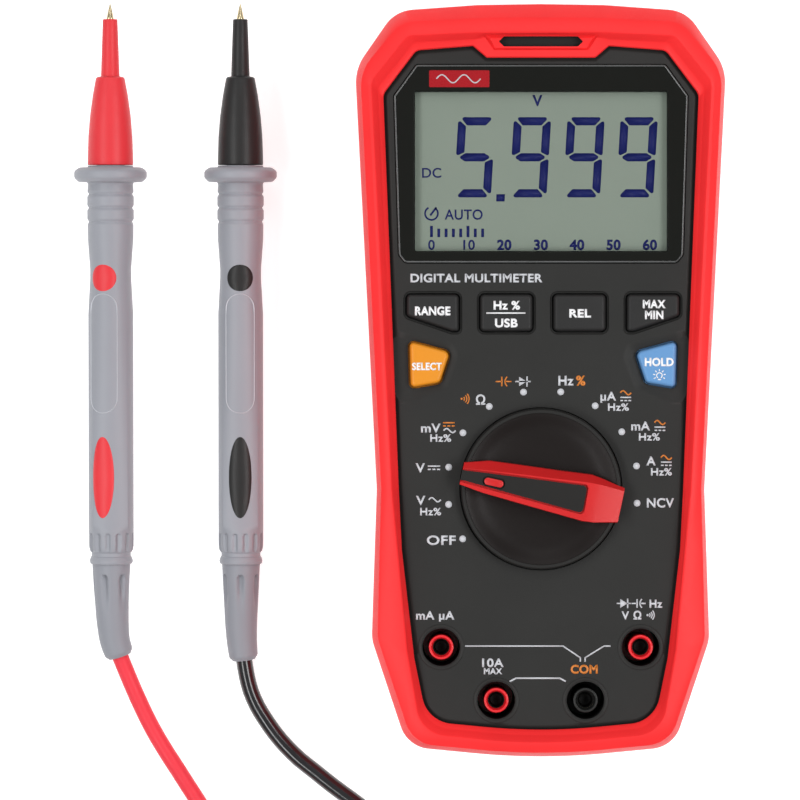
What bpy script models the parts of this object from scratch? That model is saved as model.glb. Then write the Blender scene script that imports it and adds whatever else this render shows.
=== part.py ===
"""A handheld digital multimeter and its two test leads, one object for each separate piece.

The scene is in metres. +Z points out of the meter's face and +Y towards its top, and the origin is
the middle of the flat back it lies on. The sizes below are in millimetres, and MM turns them into metres.
"""

import math

import bmesh
import bpy
from mathutils import Matrix, Vector

MM = 0.001
GAP = 0.3  # clearance between pieces that touch on the real object
ARC_STEPS = 2  # straight steps in a rounded corner

# Heights above the table, from the back of the meter to the top of the knob.
BACK = 0.0
BATTERY_AXIS = 8.6
BOARD_LOW, BOARD_HIGH = 22.0, 23.6
SPLIT = 24.1  # where the rear case meets the front case
FACE = 45.0
CREST = 49.0  # top of the holster's lip
DIAL_TOP = 51.2

# Half outlines, seen from the front: corners (x, y, radius) from the top middle to the bottom middle.
# The four have the same corners in the same order, so a skin can run from one to the next.
HOLSTER_EDGE = [(0, 94.0, 0), (13.5, 93.8, 0), (15.9, 93.75, 0), (36.25, 92.3, 9), (46.26, 77.8, 12),
                (40.85, -27, 0), (41.35, -42, 0), (42.1, -64.5, 10), (33.2, -91.3, 8), (0, -94.5, 250)]
LIP_SHOULDER = [(0, 90.3, 0), (13.5, 90.2, 0), (15.9, 90.1, 0), (35.0, 89.2, 8), (44.9, 76.6, 11),
                (39.7, -27, 0), (40.1, -42, 0), (40.6, -64.0, 10), (31.9, -90.0, 8), (0, -93.1, 250)]
LIP_CREST = [(0, 86.6, 0), (13.5, 86.5, 0), (15.9, 86.4, 0), (33.2, 85.6, 3), (42.3, 74.2, 4),
             (37.2, -27, 0), (35.9, -42, 0), (33.6, -67.0, 10), (29.9, -87.5, 8), (0, -90.5, 250)]
FACE_EDGE = [(0, 80.3, 0), (13.5, 80.3, 0), (15.9, 82.8, 0), (31.0, 82.1, 2.5), (39.2, 71.2, 3),
             (35.35, -27, 0), (34.6, -42, 0), (31.5, -69.0, 12), (28.3, -84.7, 8), (0, -87.4, 250)]
CASE_INSET, WALL = 4.0, 2.2

# The display, its lens (x, y, radius) and the glass behind it.
LENS = [(-36.0, 70.8, 0.8), (-30.8, 78.6, 0.8), (30.8, 78.6, 0.8), (36.0, 70.8, 0.8),
        (36.0, 31.0, 0.8), (34.5, 29.5, 0.8), (-34.5, 29.5, 0.8), (-36.0, 31.0, 0.8)]
VIEW_X, VIEW_Y = (-31.5, 31.5), (32.1, 72.0)

# Push buttons: cap outlines, how far they stand out of the face and how far they travel.
BUTTONS = {
    "range_button": [(-33.35, 21.4, 1), (-20.45, 21.4, 1), (-20.45, 12.4, 0.6), (-22.1, 12.4, 0.6),
                     (-33.35, 16.2, 1)],
    "frequency_button": [(-15.05, 21.4, 1), (-2.15, 21.4, 1), (-2.15, 12.4, 1), (-15.05, 12.4, 1)],
    "relative_button": [(3.15, 21.4, 1), (16.05, 21.4, 1), (16.05, 12.4, 1), (3.15, 12.4, 1)],
    "max_min_button": [(21.45, 21.4, 1), (34.35, 21.4, 1), (34.35, 16.2, 1), (23.1, 12.4, 0.6),
                       (21.45, 12.4, 0.6)],
    "select_button": [(-32.7, 9.8, 1), (-22.6, 7.1, 1.4), (-25.1, -0.4, 1.4), (-32.4, -1.7, 1)],
    "hold_button": [(33.7, 9.8, 1), (33.4, -1.7, 1), (26.1, -0.4, 1.4), (23.6, 7.1, 1.4)],
}
BUTTON_LOW, BUTTON_FLANGE, BUTTON_HIGH = 40.9, 42.5, 46.4
BUTTON_COLOURS = {"select_button": (0.85, 0.38, 0.04), "hold_button": (0.13, 0.35, 0.68)}

# The rotary dial. Its handle points at the second position when at rest.
DIAL_CENTRE = (0.0, -26.9)
DIAL_RADIUS = 20.4
DIAL_REST_DEG = 168.0
HANDLE = [(20.1, 2.95, 0.8), (0, 4.7, 0), (-14.0, 6.0, 3), (-20.1, 4.35, 1.5),
          (-20.1, -4.35, 1.5), (-14.0, -6.0, 3), (0, -4.7, 0), (20.1, -2.95, 0.8)]
INLAY = [(19.0, 1.55, 0.3), (-9.5, 3.4, 1.5), (-11.5, 0, 1.5), (-9.5, -3.4, 1.5), (19.0, -1.55, 0.3)]

# Input jacks on the standard banana spacing of 19.05 mm: centre and colour.
RED, BLACK = (0.78, 0.02, 0.02), (0.012, 0.012, 0.013)
JACKS = {"amp": (-11.1, -79.5, RED), "common": (11.1, -79.5, BLACK),
         "milliamp": (-24.8, -66.3, RED), "volt": (24.8, -66.3, RED)}
WELL_RADIUS, WELL_FLOOR = 4.7, 26.0

# Four AAA cells under a screwed door.
CELL_RADIUS, CELL_LENGTH = 5.2, 43.5
CELL_ROWS = (-16.5, -5.5, 5.5, 16.5)
BAY_Y = (-65.4, -15.6)
BAY_HALF, BAY_HIGH = 22.6, 15.0
DOOR = [(-25.5, -13.0, 2), (25.5, -13.0, 2), (25.5, -68.5, 2), (7, -76.5, 3), (-7, -76.5, 3),
        (-25.5, -68.5, 2)]
DOOR_SCREW = (0.0, -72.0)
CASE_SCREWS = [(-29.0, 80.0), (29.0, 80.0), (-22.5, -77.0), (22.5, -77.0)]

# The tilt stand, which folds flat into the back.
STAND_AXIS = (68.5, 2.7)  # y and z of its hinge
STAND_HALF, STAND_FOOT = 22.0, 11.0

# Test probes: where each lies, and the path of its cord from the strain relief on.
PROBE_TIP_Y, PROBE_TIP_Z = 96.2, 11.0
PROBE_TILT_DEG = 2.1  # the finger guard holds the tip end up
CORD_RADIUS = 2.1
COIL_RADIUS, COIL_WIDTH, COIL_HEIGHT = 23.0, 12.6, 8.4
COIL_REST = 0.05  # the coil's and the cord's height over the table
LEAD_IN, LEAD_OUT = 17.0, 19.0  # straight cord before and after the coil
LEADS = {
    "red": {
        "x": -109.2,
        "colour": RED,
        "boot": [(-109.2, -47.1, 5.5), (-109.2, -52.0, 5.2), (-109.1, -57.0, 4.8), (-108.9, -62.0, 4.3),
                 (-108.4, -66.6, 3.8), (-107.1, -70.7, 3.4)],
        "route": [(-106.95, -71.1, 3.35), (-105.3, -75.2, 3.0), (-103.6, -79.3, 2.6), (-101.6, -83.8, 2.2),
                  (-99.6, -87.9, 2.15), (-97.4, -91.9, 2.15), (-94.9, -96.0, 2.15), (-92.3, -100.0, 2.15),
                  (-89.7, -104.1, 2.15), (-87.3, -107.8, 2.15), (-85.1, -111.5, 2.15), (-83.0, -115.3, 2.15)],
        "coil": (-98.4, -146.5),
        "entry_deg": 25.0,  # where on the coil the cord comes in
    },
    "black": {
        "x": -75.9,
        "colour": BLACK,
        "boot": [(-75.9, -47.1, 5.5), (-75.9, -52.0, 5.2), (-75.9, -57.0, 4.8), (-75.9, -62.0, 4.3),
                 (-75.7, -67.0, 3.8), (-75.2, -71.6, 3.4)],
        "route": [(-75.12, -72.0, 3.35), (-74.5, -75.8, 3.0), (-73.5, -79.7, 2.6), (-71.9, -83.5, 2.2),
                  (-69.8, -87.0, 2.15), (-67.2, -90.7, 2.15), (-64.3, -94.1, 2.15), (-60.9, -97.4, 2.15),
                  (-57.1, -100.4, 2.15), (-52.6, -104.0, 2.15), (-47.7, -107.6, 2.15), (-42.6, -111.4, 2.15),
                  (-37.5, -115.2, 2.15), (-32.4, -119.1, 2.15)],
        "coil": (-30.2, -158.7),
        "entry_deg": 45.0,
    },
}


# ---------------------------------------------------------------- outlines


def mirrored(half):
    """The whole outline of a half one that runs from the top middle down to the bottom middle."""
    return half + [(-x, y, radius) for x, y, radius in reversed(half[1:-1])]


def box_corners(x_range, y_range, radius=0):
    (x0, x1), (y0, y1) = x_range, y_range
    return [(x0, y1, radius), (x1, y1, radius), (x1, y0, radius), (x0, y0, radius)]


def inset(corners, distance):
    """The same corners, moved inwards by a distance, or outwards by a negative one."""
    points = [Vector(corner[:2]) for corner in corners]
    area = sum(a.cross(b) for a, b in zip(points, points[1:] + points[:1]))
    side = 1 if area > 0 else -1
    moved = []
    for i, here in enumerate(points):
        arriving = (here - points[i - 1]).normalized()
        leaving = (points[(i + 1) % len(points)] - here).normalized()
        normals = [Vector((-d.y, d.x)) * side for d in (arriving, leaving)]
        shift = (normals[0] + normals[1]) / (1 + normals[0].dot(normals[1]))
        place = here + shift * distance
        radius = corners[i][2]
        moved.append((place.x, place.y, max(radius - distance, 0.3) if radius else 0))
    return moved


def rounded(corners):
    """The points of an outline, with each corner's radius as an arc of ARC_STEPS steps."""
    points = []
    for i, (x, y, radius) in enumerate(corners):
        here = Vector((x, y))
        if not radius:
            points.append(here)
            continue
        back = (Vector(corners[i - 1][:2]) - here).normalized()
        onward = (Vector(corners[(i + 1) % len(corners)][:2]) - here).normalized()
        half_angle = back.angle(onward) / 2
        centre = here + (back + onward).normalized() * radius / math.sin(half_angle)
        reach = radius / math.tan(half_angle)
        first = here + back * reach - centre
        last = here + onward * reach - centre
        turn = math.atan2(first.cross(last), first.dot(last))
        for step in range(ARC_STEPS + 1):
            points.append(centre + Matrix.Rotation(turn * step / ARC_STEPS, 2) @ first)
    return points


def ring(corners, height):
    return [Vector((point.x, point.y, height)) for point in rounded(corners)]


def smooth_curve(points, spacing):
    """Points about so far apart on the smooth curve (Catmull-Rom) through the given ones."""
    given = [Vector(point) for point in points]
    given = [2 * given[0] - given[1], *given, 2 * given[-1] - given[-2]]
    found = []
    for a, b, c, d in zip(given, given[1:], given[2:], given[3:]):
        steps = max(1, round((c - b).length / spacing))
        for step in range(steps):
            t = step / steps
            found.append(0.5 * (2 * b + (c - a) * t + (2 * a - 5 * b + 4 * c - d) * t * t
                                + (3 * b - a - 3 * c + d) * t ** 3))
    return found + [given[-2]]


# ---------------------------------------------------------------- making objects


def clear_scene():
    for obj in list(bpy.data.objects):
        bpy.data.objects.remove(obj, do_unlink=True)


def new_collection(name):
    collection = bpy.data.collections.new(name)
    bpy.context.scene.collection.children.link(collection)
    return collection


def material(name, colour, roughness=0.5, metallic=0.0):
    finish = bpy.data.materials.new(name)
    finish.use_nodes = True
    shader = finish.node_tree.nodes["Principled BSDF"]
    shader.inputs["Base Color"].default_value = (*colour, 1)
    shader.inputs["Roughness"].default_value = roughness
    shader.inputs["Metallic"].default_value = metallic
    finish.diffuse_color = (*colour, 1)
    return finish


def place(name, mesh, colour, roughness=0.5, metallic=0.0, smooth=False):
    """A new object in the part's collection, or among the cutters where it has no colour."""
    obj = bpy.data.objects.new(name, mesh)
    if colour is None:
        CUTTERS.objects.link(obj)
        obj.hide_render = True
        obj.display_type = "WIRE"
        return obj
    PARTS.objects.link(obj)
    mesh.materials.append(material(name, colour, roughness, metallic))
    if smooth:
        mesh.shade_smooth()
        mesh.set_sharp_from_angle(angle=math.radians(35))
    return obj


def mesh_from(name, bm):
    """A mesh in metres of a bmesh in millimetres."""
    bmesh.ops.recalc_face_normals(bm, faces=bm.faces)
    bmesh.ops.scale(bm, vec=(MM, MM, MM), verts=bm.verts)
    mesh = bpy.data.meshes.new(name)
    bm.to_mesh(mesh)
    bm.free()
    return mesh


def loft(name, rings, colour, closed=False, **looks):
    """A solid whose skin runs through rings of points. Its ends are capped, or the last joins the first."""
    bm = bmesh.new()
    rows = [[bm.verts.new(point) for point in points] for points in rings]
    for low, high in zip(rows, rows[1:] + rows[:1] if closed else rows[1:]):
        for i in range(len(low)):
            bm.faces.new((low[i - 1], low[i], high[i], high[i - 1]))
    if not closed:
        bm.faces.new(rows[0])
        bm.faces.new(rows[-1])
    return place(name, mesh_from(name, bm), colour, **looks)


def plate(name, corners, low, high, colour, **looks):
    """A flat outline extruded from one height to another."""
    return loft(name, [ring(corners, low), ring(corners, high)], colour, **looks)


def box(name, x_range, y_range, z_range, colour, **looks):
    bm = bmesh.new()
    bmesh.ops.create_cube(bm, size=1)
    ranges = (x_range, y_range, z_range)
    bmesh.ops.scale(bm, vec=[high - low for low, high in ranges], verts=bm.verts)
    bmesh.ops.translate(bm, vec=[(low + high) / 2 for low, high in ranges], verts=bm.verts)
    return place(name, mesh_from(name, bm), colour, **looks)


def cylinder(name, radius, start, end, colour, sides=12, **looks):
    """A solid cylinder between the middles of its two ends."""
    axis = Vector(end) - Vector(start)
    turn = axis.to_track_quat("Z", "Y").to_matrix().to_4x4()
    bm = bmesh.new()
    bmesh.ops.create_cone(bm, cap_ends=True, segments=sides, radius1=radius, radius2=radius,
                          depth=axis.length)
    bmesh.ops.transform(bm, matrix=Matrix.Translation((Vector(start) + Vector(end)) / 2) @ turn,
                        verts=bm.verts)
    return place(name, mesh_from(name, bm), colour, **looks)


def turned(name, profile, colour, at=(0, 0, 0), turn=(0, 0, 0), sides=14, **looks):
    """A profile (radius, height) turned about its own Z axis. It runs down its outer side, from the axis
    and back to it, or all the way round where it never touches the axis."""
    bm = bmesh.new()
    verts = [bm.verts.new((radius * MM, 0, height * MM)) for radius, height in profile]
    for first, second in zip(verts, verts[1:]):
        bm.edges.new((first, second))
    if profile[0][0] > 0:
        bm.edges.new((verts[-1], verts[0]))
    mesh = bpy.data.meshes.new(name)
    bm.to_mesh(mesh)
    bm.free()
    obj = place(name, mesh, colour, **looks)
    obj.location = Vector(at) * MM
    obj.rotation_euler = turn
    screw = obj.modifiers.new("Turn", "SCREW")
    screw.steps = sides
    screw.render_steps = sides
    screw.use_merge_vertices = True
    screw.merge_threshold = 0.00001
    screw.use_smooth_shade = True
    return obj


def tube(name, points, radii, colour, **looks):
    """A round rod along points. radii is one radius, or one for each point."""
    if not isinstance(radii, (list, tuple)):
        radii = [radii] * len(points)
    curve = bpy.data.curves.new(name, "CURVE")
    curve.dimensions = "3D"
    curve.bevel_depth = MM
    curve.bevel_resolution = 2
    curve.use_fill_caps = True
    spline = curve.splines.new("POLY")
    spline.points.add(len(points) - 1)
    for knot, point, radius in zip(spline.points, points, radii):
        knot.co = (*(Vector(point) * MM), 1)
        knot.radius = radius
    obj = bpy.data.objects.new(name, curve)
    PARTS.objects.link(obj)
    curve.materials.append(material(name, colour, **looks))
    return obj


def combine(obj, operation, *others):
    for other in others:
        boolean = obj.modifiers.new(other.name, "BOOLEAN")
        boolean.operation = operation
        boolean.object = other
    return obj


def cut(obj, *others):
    return combine(obj, "DIFFERENCE", *others)


def join(obj, *others):
    return combine(obj, "UNION", *others)


def set_origin(obj, point):
    """Moves an object's origin, given in millimetres, to its joint's axis. Its shape stays where it is."""
    origin = Vector(point) * MM
    obj.data.transform(Matrix.Translation(-origin))
    obj.location = origin


# ---------------------------------------------------------------- the case


def make_holster():
    edge = mirrored(HOLSTER_EDGE)
    inner = inset(edge, CASE_INSET - GAP)
    rear = inset(edge, 8.0)
    levels = [(inset(edge, 3.4), BACK), (inset(edge, 1.2), 1.5), (inset(edge, 0.5), 5.0), (edge, 34.0),
              (edge, 43.0), (mirrored(LIP_SHOULDER), 47.6), (mirrored(LIP_CREST), CREST),
              (mirrored(FACE_EDGE), FACE + 0.9), (mirrored(FACE_EDGE), FACE + GAP),
              (inner, FACE + GAP), (inner, 2.6), (rear, 2.6), (rear, BACK)]
    holster = loft("holster", [ring(*level) for level in levels], (0.75, 0.03, 0.03), closed=True,
                   roughness=0.45, smooth=True)
    slot = [(-10.4, 84.35, 0), (-9.2, 85.5, 0), (9.2, 85.5, 0), (10.4, 84.35, 0), (9.2, 83.2, 0),
            (-9.2, 83.2, 0)]
    cut(holster, plate("strap_slot_cutter", slot, FACE - 1, CREST + 2, None))


def make_front_case():
    edge = mirrored(HOLSTER_EDGE)
    outer, inner = inset(edge, CASE_INSET), inset(edge, CASE_INSET + WALL)
    ceiling = FACE - WALL
    front = loft("front_case",
                 [ring(inner, ceiling), ring(inner, SPLIT), ring(outer, SPLIT), ring(outer, FACE)],
                 (0.03, 0.03, 0.03), roughness=0.55)
    for number, (x, y) in enumerate(CASE_SCREWS, 1):
        boss = cylinder(f"boss_{number}", 2.8, (x, y, BOARD_HIGH + GAP), (x, y, ceiling + 1), None)
        pilot = cylinder(f"boss_{number}_pilot", 1.7, (x, y, BOARD_HIGH - 1), (x, y, 36), None, sides=8)
        join(front, boss)
        cut(front, pilot)
    for name, (x, y, _) in JACKS.items():
        join(front, cylinder(f"well_{name}", 5.9, (x, y, WELL_FLOOR), (x, y, FACE + 0.5), None, sides=16))
        cut(front, cylinder(f"well_{name}_bore", WELL_RADIUS, (x, y, SPLIT), (x, y, FACE + 2), None,
                            sides=16))
    cut(front, plate("lens_recess", inset(LENS, -0.25), FACE - 1.5, FACE + 2, None))
    cut(front, plate("display_opening", box_corners(VIEW_X, VIEW_Y, 0), ceiling - 2, FACE, None))
    for name, corners in BUTTONS.items():
        cut(front, plate(f"{name}_hole", inset(corners, -0.35), ceiling - 2, FACE + 2, None))
    x, y = DIAL_CENTRE
    cut(front, cylinder("dial_hole", 8.5, (x, y, ceiling - 2), (x, y, FACE + 2), None, sides=24))


def make_rear_case():
    edge = mirrored(HOLSTER_EDGE)
    outer, inner, back = inset(edge, CASE_INSET), inset(edge, CASE_INSET + WALL), inset(edge, 8.3)
    floor = inset(edge, 10.6)
    top = SPLIT - GAP
    levels = [(back, BACK), (back, 2.9), (outer, 2.9), (outer, top), (inner, top), (inner, 5.2),
              (floor, 5.2), (floor, 2.4)]
    rear = loft("rear_case", [ring(*level) for level in levels], (0.03, 0.03, 0.03), roughness=0.6)
    wall = 1.2
    bay = [(-BAY_HALF, BAY_HALF), BAY_Y]
    bay_outside = [(low - wall, high + wall) for low, high in bay]
    hinge_y, hinge_z = STAND_AXIS
    recess = [(-STAND_HALF - 0.5, STAND_HALF + 0.5), (STAND_FOOT - 0.6, hinge_y + 2.6)]
    recess_outside = [(recess[0][0] - 4, recess[0][1] + 4), (recess[1][0] - 3, recess[1][1] + 2)]
    join(rear, box("bay_block", *bay_outside, (1, BAY_HIGH + wall), None))
    join(rear, box("stand_block", *recess_outside, (1, 7.0), None))
    for number, (x, y) in enumerate(CASE_SCREWS, 1):
        join(rear, cylinder(f"post_{number}", 4.6, (x, y, 1), (x, y, BOARD_LOW - GAP), None))
        cut(rear, cylinder(f"post_{number}_head", 3.4, (x, y, -1), (x, y, 10.8), None),
            cylinder(f"post_{number}_bore", 1.8, (x, y, 9), (x, y, BOARD_LOW + 1), None, sides=8))
    x, y = DOOR_SCREW
    join(rear, cylinder("door_post", 3.6, (x, y, 1), (x, y, 14), None))
    cut(rear, plate("door_rebate", inset(DOOR, -GAP), -1, 2.3, None),
        box("bay_bore", *bay, (-1, BAY_HIGH), None),
        cylinder("door_post_bore", 1.6, (x, y, 0), (x, y, 12.5), None, sides=8),
        box("stand_recess", *recess, (-1, 5.0), None),
        cylinder("stand_pin_holes", 1.5, (-STAND_HALF - 3, hinge_y, hinge_z),
                 (STAND_HALF + 3, hinge_y, hinge_z), None, sides=12))


def make_screw(name, at, head_low, head_high, head_radius, shank_radius, tip):
    """A screw put in from the back: its head is below, and its shank points up to the tip."""
    turned(name, [(0, tip), (shank_radius, tip - 1), (shank_radius, head_high), (head_radius, head_high),
                  (head_radius, head_low), (0, head_low)],
           (0.55, 0.55, 0.56), at=(*at, 0), sides=10, roughness=0.3, metallic=1.0)


def make_fasteners():
    for number, place_xy in enumerate(CASE_SCREWS, 1):
        make_screw(f"case_screw_{number}", place_xy, 8.2, 10.5, 2.9, 1.35, 33)
    make_screw("battery_door_screw", DOOR_SCREW, 0.3, 1.05, 2.2, 1.1, 11)


def make_battery_door():
    door = plate("battery_door", DOOR, 0.2, 2.0, (0.035, 0.035, 0.035), roughness=0.6)
    x, y = DOOR_SCREW
    cut(door, cylinder("door_screw_hole", 1.45, (x, y, -1), (x, y, 3), None),
        cylinder("door_screw_seat", 2.6, (x, y, -1), (x, y, 1.35), None))


def make_tilt_stand():
    hinge_y, hinge_z = STAND_AXIS
    foot = [(-STAND_HALF, hinge_y, 0), (STAND_HALF, hinge_y, 0), (STAND_HALF - 2, STAND_FOOT, 3),
            (2 - STAND_HALF, STAND_FOOT, 3)]
    stand = plate("tilt_stand", foot, 0.6, 3.9, (0.035, 0.035, 0.035), roughness=0.55)
    knuckle = STAND_HALF - 0.5
    join(stand, cylinder("stand_barrel", 2.0, (-knuckle, hinge_y, hinge_z), (knuckle, hinge_y, hinge_z),
                         None),
         cylinder("stand_pin", 1.15, (-STAND_HALF - 2.5, hinge_y, hinge_z),
                  (STAND_HALF + 2.5, hinge_y, hinge_z), None, sides=10))
    cut(stand, box("stand_relief", (-15, 15), (22, 60), (2.4, 5), None))
    set_origin(stand, (0, hinge_y, hinge_z))
    for name in ("stand_barrel", "stand_pin", "stand_relief"):
        bpy.data.objects[name].parent = stand
        bpy.data.objects[name].matrix_parent_inverse = Matrix.Translation(-stand.location)


# ---------------------------------------------------------------- the display and its buttons


def make_display():
    plate("display_window", LENS, FACE - 1.2, FACE + 0.4, (0.35, 0.38, 0.36), roughness=0.1)
    glass = box_corners((-34.0, 34.0), (30.2, 74.0), 0)
    plate("lcd_panel", glass, 39.7, 42.4, (0.27, 0.31, 0.26), roughness=0.25)
    carrier = box("display_carrier", (-34.5, 34.5), (-5, 76), (34.0, 36.0), (0.7, 0.7, 0.68), roughness=0.5)
    join(carrier, box("glass_seat", (-34.5, 34.5), (29.5, 75.5), (35, 39.4), None))
    cut(carrier, box("light_well", (-30, 30), (33.5, 70.5), (33, 41), None))
    for x in (-31.0, 31.0):
        for y in (-1.5, 73.0):
            leg = cylinder(f"leg_{x:.0f}_{y:.0f}", 1.8, (x, y, BOARD_HIGH + GAP), (x, y, 35), None, sides=8)
            join(carrier, leg)


def make_keypad():
    keypad = box("keypad_membrane", (-34.2, 34.2), (-4.5, 24.0), (36.3, 37.6), (0.25, 0.25, 0.26),
                 roughness=0.7)
    for name, corners in BUTTONS.items():
        middle = sum((Vector(corner[:2]) for corner in corners), Vector((0, 0))) / len(corners)
        join(keypad, cylinder(f"{name}_dome", 3.0, (*middle, 37), (*middle, 39.3), None, sides=10))
    for name, corners in BUTTONS.items():
        flange = inset(corners, -0.9)
        rings = [ring(flange, BUTTON_LOW), ring(flange, BUTTON_FLANGE), ring(corners, BUTTON_FLANGE),
                 ring(corners, BUTTON_HIGH - 0.4), ring(inset(corners, 0.4), BUTTON_HIGH)]
        button = loft(name, rings, BUTTON_COLOURS.get(name, (0.04, 0.04, 0.04)), roughness=0.5)
        middle = sum((Vector(corner[:2]) for corner in corners), Vector((0, 0))) / len(corners)
        set_origin(button, (*middle, BUTTON_LOW))


# ---------------------------------------------------------------- the dial


def make_dial():
    x, y = DIAL_CENTRE
    turn = (0, 0, math.radians(DIAL_REST_DEG))
    base = FACE + 0.4
    turned("dial_disc", [(0, base + 1.5), (18.6, base + 1.5), (19.2, base + 2.6), (19.8, base + 2.6),
                         (DIAL_RADIUS, base + 1.2), (DIAL_RADIUS, base), (8.0, base), (8.0, 42.3),
                         (4.6, 42.3), (4.6, 29.5), (0, 29.5)],
           (0.018, 0.018, 0.018), at=(x, y, 0), sides=28, roughness=0.4)
    rise = base + 1.5 + GAP
    narrow = 18.2 / 20.1
    low = [(px * narrow, py, radius) for px, py, radius in HANDLE]
    handle = loft("dial_handle", [ring(low, rise), ring(low, base + 2.9), ring(HANDLE, base + 3.2),
                                  ring(HANDLE, DIAL_TOP - 1.2), ring(inset(HANDLE, 0.6), DIAL_TOP - 0.2)],
                  (0.72, 0.03, 0.04), roughness=0.4)
    pocket = plate("handle_pocket", inset(INLAY, -0.25), DIAL_TOP - 1.2, DIAL_TOP + 1, None)
    cut(handle, pocket)
    inlay = plate("dial_inlay", INLAY, DIAL_TOP - 0.9, DIAL_TOP, (0.012, 0.012, 0.013), roughness=0.35)
    for obj in (handle, pocket, inlay):
        obj.location = Vector((x, y, 0)) * MM
        obj.rotation_euler = turn
    turned("dial_rotor", [(5.0, 42.0), (8.2, 42.0), (8.2, 31.0), (16.5, 31.0), (16.5, 27.5), (5.0, 27.5)],
           (0.6, 0.6, 0.58), at=(x, y, 0), sides=18, roughness=0.5)
    arms = [(14.0 if i % 2 == 0 else 7.0, 40 * i) for i in range(9)]
    star = [(r * math.cos(math.radians(a)), r * math.sin(math.radians(a)), 0) for r, a in arms]
    wiper = plate("dial_wiper", star, 25.6, 27.1, (0.75, 0.55, 0.25), roughness=0.3, metallic=1.0)
    wiper.location = Vector((x, y, 0)) * MM
    wiper.rotation_euler = turn


# ---------------------------------------------------------------- the inside


def make_board():
    board = plate("main_board", inset(mirrored(HOLSTER_EDGE), CASE_INSET + WALL + 0.8), BOARD_LOW, BOARD_HIGH,
                  (0.02, 0.2, 0.08), roughness=0.4)
    for number, (x, y) in enumerate(CASE_SCREWS, 1):
        cut(board, cylinder(f"board_hole_{number}", 2.0, (x, y, 20), (x, y, 26), None, sides=8))
    turned("buzzer", [(0, 27.8), (1.0, 27.8), (1.0, 28.2), (6.6, 28.2), (6.6, 23.9), (0, 23.9)],
           (0.03, 0.03, 0.03), at=(-25.0, -46.0, 0), roughness=0.4)
    under = BOARD_LOW - GAP
    tube("current_shunt",
         smooth_curve([(-11, -84, under), (-11, -84, 16), (-9.5, -84, 13.5), (-7, -84, 12.6),
                       (7, -84, 12.6), (9.5, -84, 13.5), (11, -84, 16), (11, -84, under)], 6),
         0.9, (0.7, 0.4, 0.25), roughness=0.35, metallic=1.0)


def make_fuse(name, y, radius, length):
    """A ceramic fuse with metal end caps, and the holder that clips it under the board."""
    cap = 8.0
    axis_z, half = 15.0, length / 2
    turned(f"fuse_{name}", [(0, half), (radius, half), (radius, half - cap), (radius - 0.3, half - cap),
                            (radius - 0.3, cap - half), (radius, cap - half), (radius, -half), (0, -half)],
           (0.8, 0.8, 0.76), at=(0, y, axis_z), turn=(0, math.pi / 2, 0), sides=12, roughness=0.35)
    top = BOARD_LOW - GAP
    width = radius + 1.4
    holder = box(f"fuse_holder_{name}", (1 - half, half - 1), (y - width, y + width), (top - 1.2, top),
                 (0.7, 0.7, 0.66), roughness=0.35)
    for side in (-1, 1):
        x = side * (half - cap / 2)
        join(holder, box(f"clip_{name}_{side}", (x - 2.5, x + 2.5), (y - width, y + width),
                         (axis_z - radius * 0.6, top - 0.5), None))
    cut(holder, cylinder(f"clip_bore_{name}", radius + GAP, (-half, y, axis_z), (half, y, axis_z), None))


def make_batteries():
    low, high = BAY_Y
    middle = (low + high) / 2
    half = CELL_LENGTH / 2
    for number, x in enumerate(CELL_ROWS, 1):
        upward = 1 if number % 2 else -1
        turned(f"battery_{number}", [(0, half + 1.0), (1.9, half + 1.0), (1.9, half), (CELL_RADIUS, half),
                                     (CELL_RADIUS, -half), (0, -half)],
               (0.25, 0.3, 0.35), at=(x, middle, BATTERY_AXIS), turn=(-upward * math.pi / 2, 0, 0), sides=12,
               roughness=0.35, metallic=0.3)
    spring_height = 1.6
    for name, y, inward in (("upper", high, -1), ("lower", low, 1)):
        face = y + inward * 0.3
        strip = box(f"battery_contacts_{name}", (-21.5, 21.5), sorted((face, face + inward * 0.5)),
                    (3.6, 13.6), (0.7, 0.7, 0.7), roughness=0.25, metallic=1.0)
        for number, x in enumerate(CELL_ROWS, 1):
            negative_end_here = (number % 2 == 1) == (name == "lower")
            if negative_end_here:
                start = (x, face + inward * 0.2, BATTERY_AXIS)
                end = (x, face + inward * (0.5 + spring_height), BATTERY_AXIS)
                join(strip, cylinder(f"contact_{name}_{number}", 3.0, start, end, None, sides=8))


def make_jacks():
    for name, (x, y, colour) in JACKS.items():
        turned(f"jack_sleeve_{name}", [(2.9, 44.9), (3.07, 44.6), (3.07, 27.0), (4.4, 27.0), (4.4, 24.4),
                                       (2.8, 24.4), (2.8, 41.8), (2.1, 41.8), (2.1, 44.6), (2.25, 44.9)],
               colour, at=(x, y, 0), roughness=0.4)
        turned(f"jack_socket_{name}", [(0, 26.5), (2.03, 26.5), (2.03, 41.5), (2.5, 41.5), (2.5, 23.9),
                                       (0, 23.9)],
               (0.75, 0.68, 0.45), at=(x, y, 0), sides=12, roughness=0.25, metallic=1.0)


# ---------------------------------------------------------------- the test leads


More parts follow.
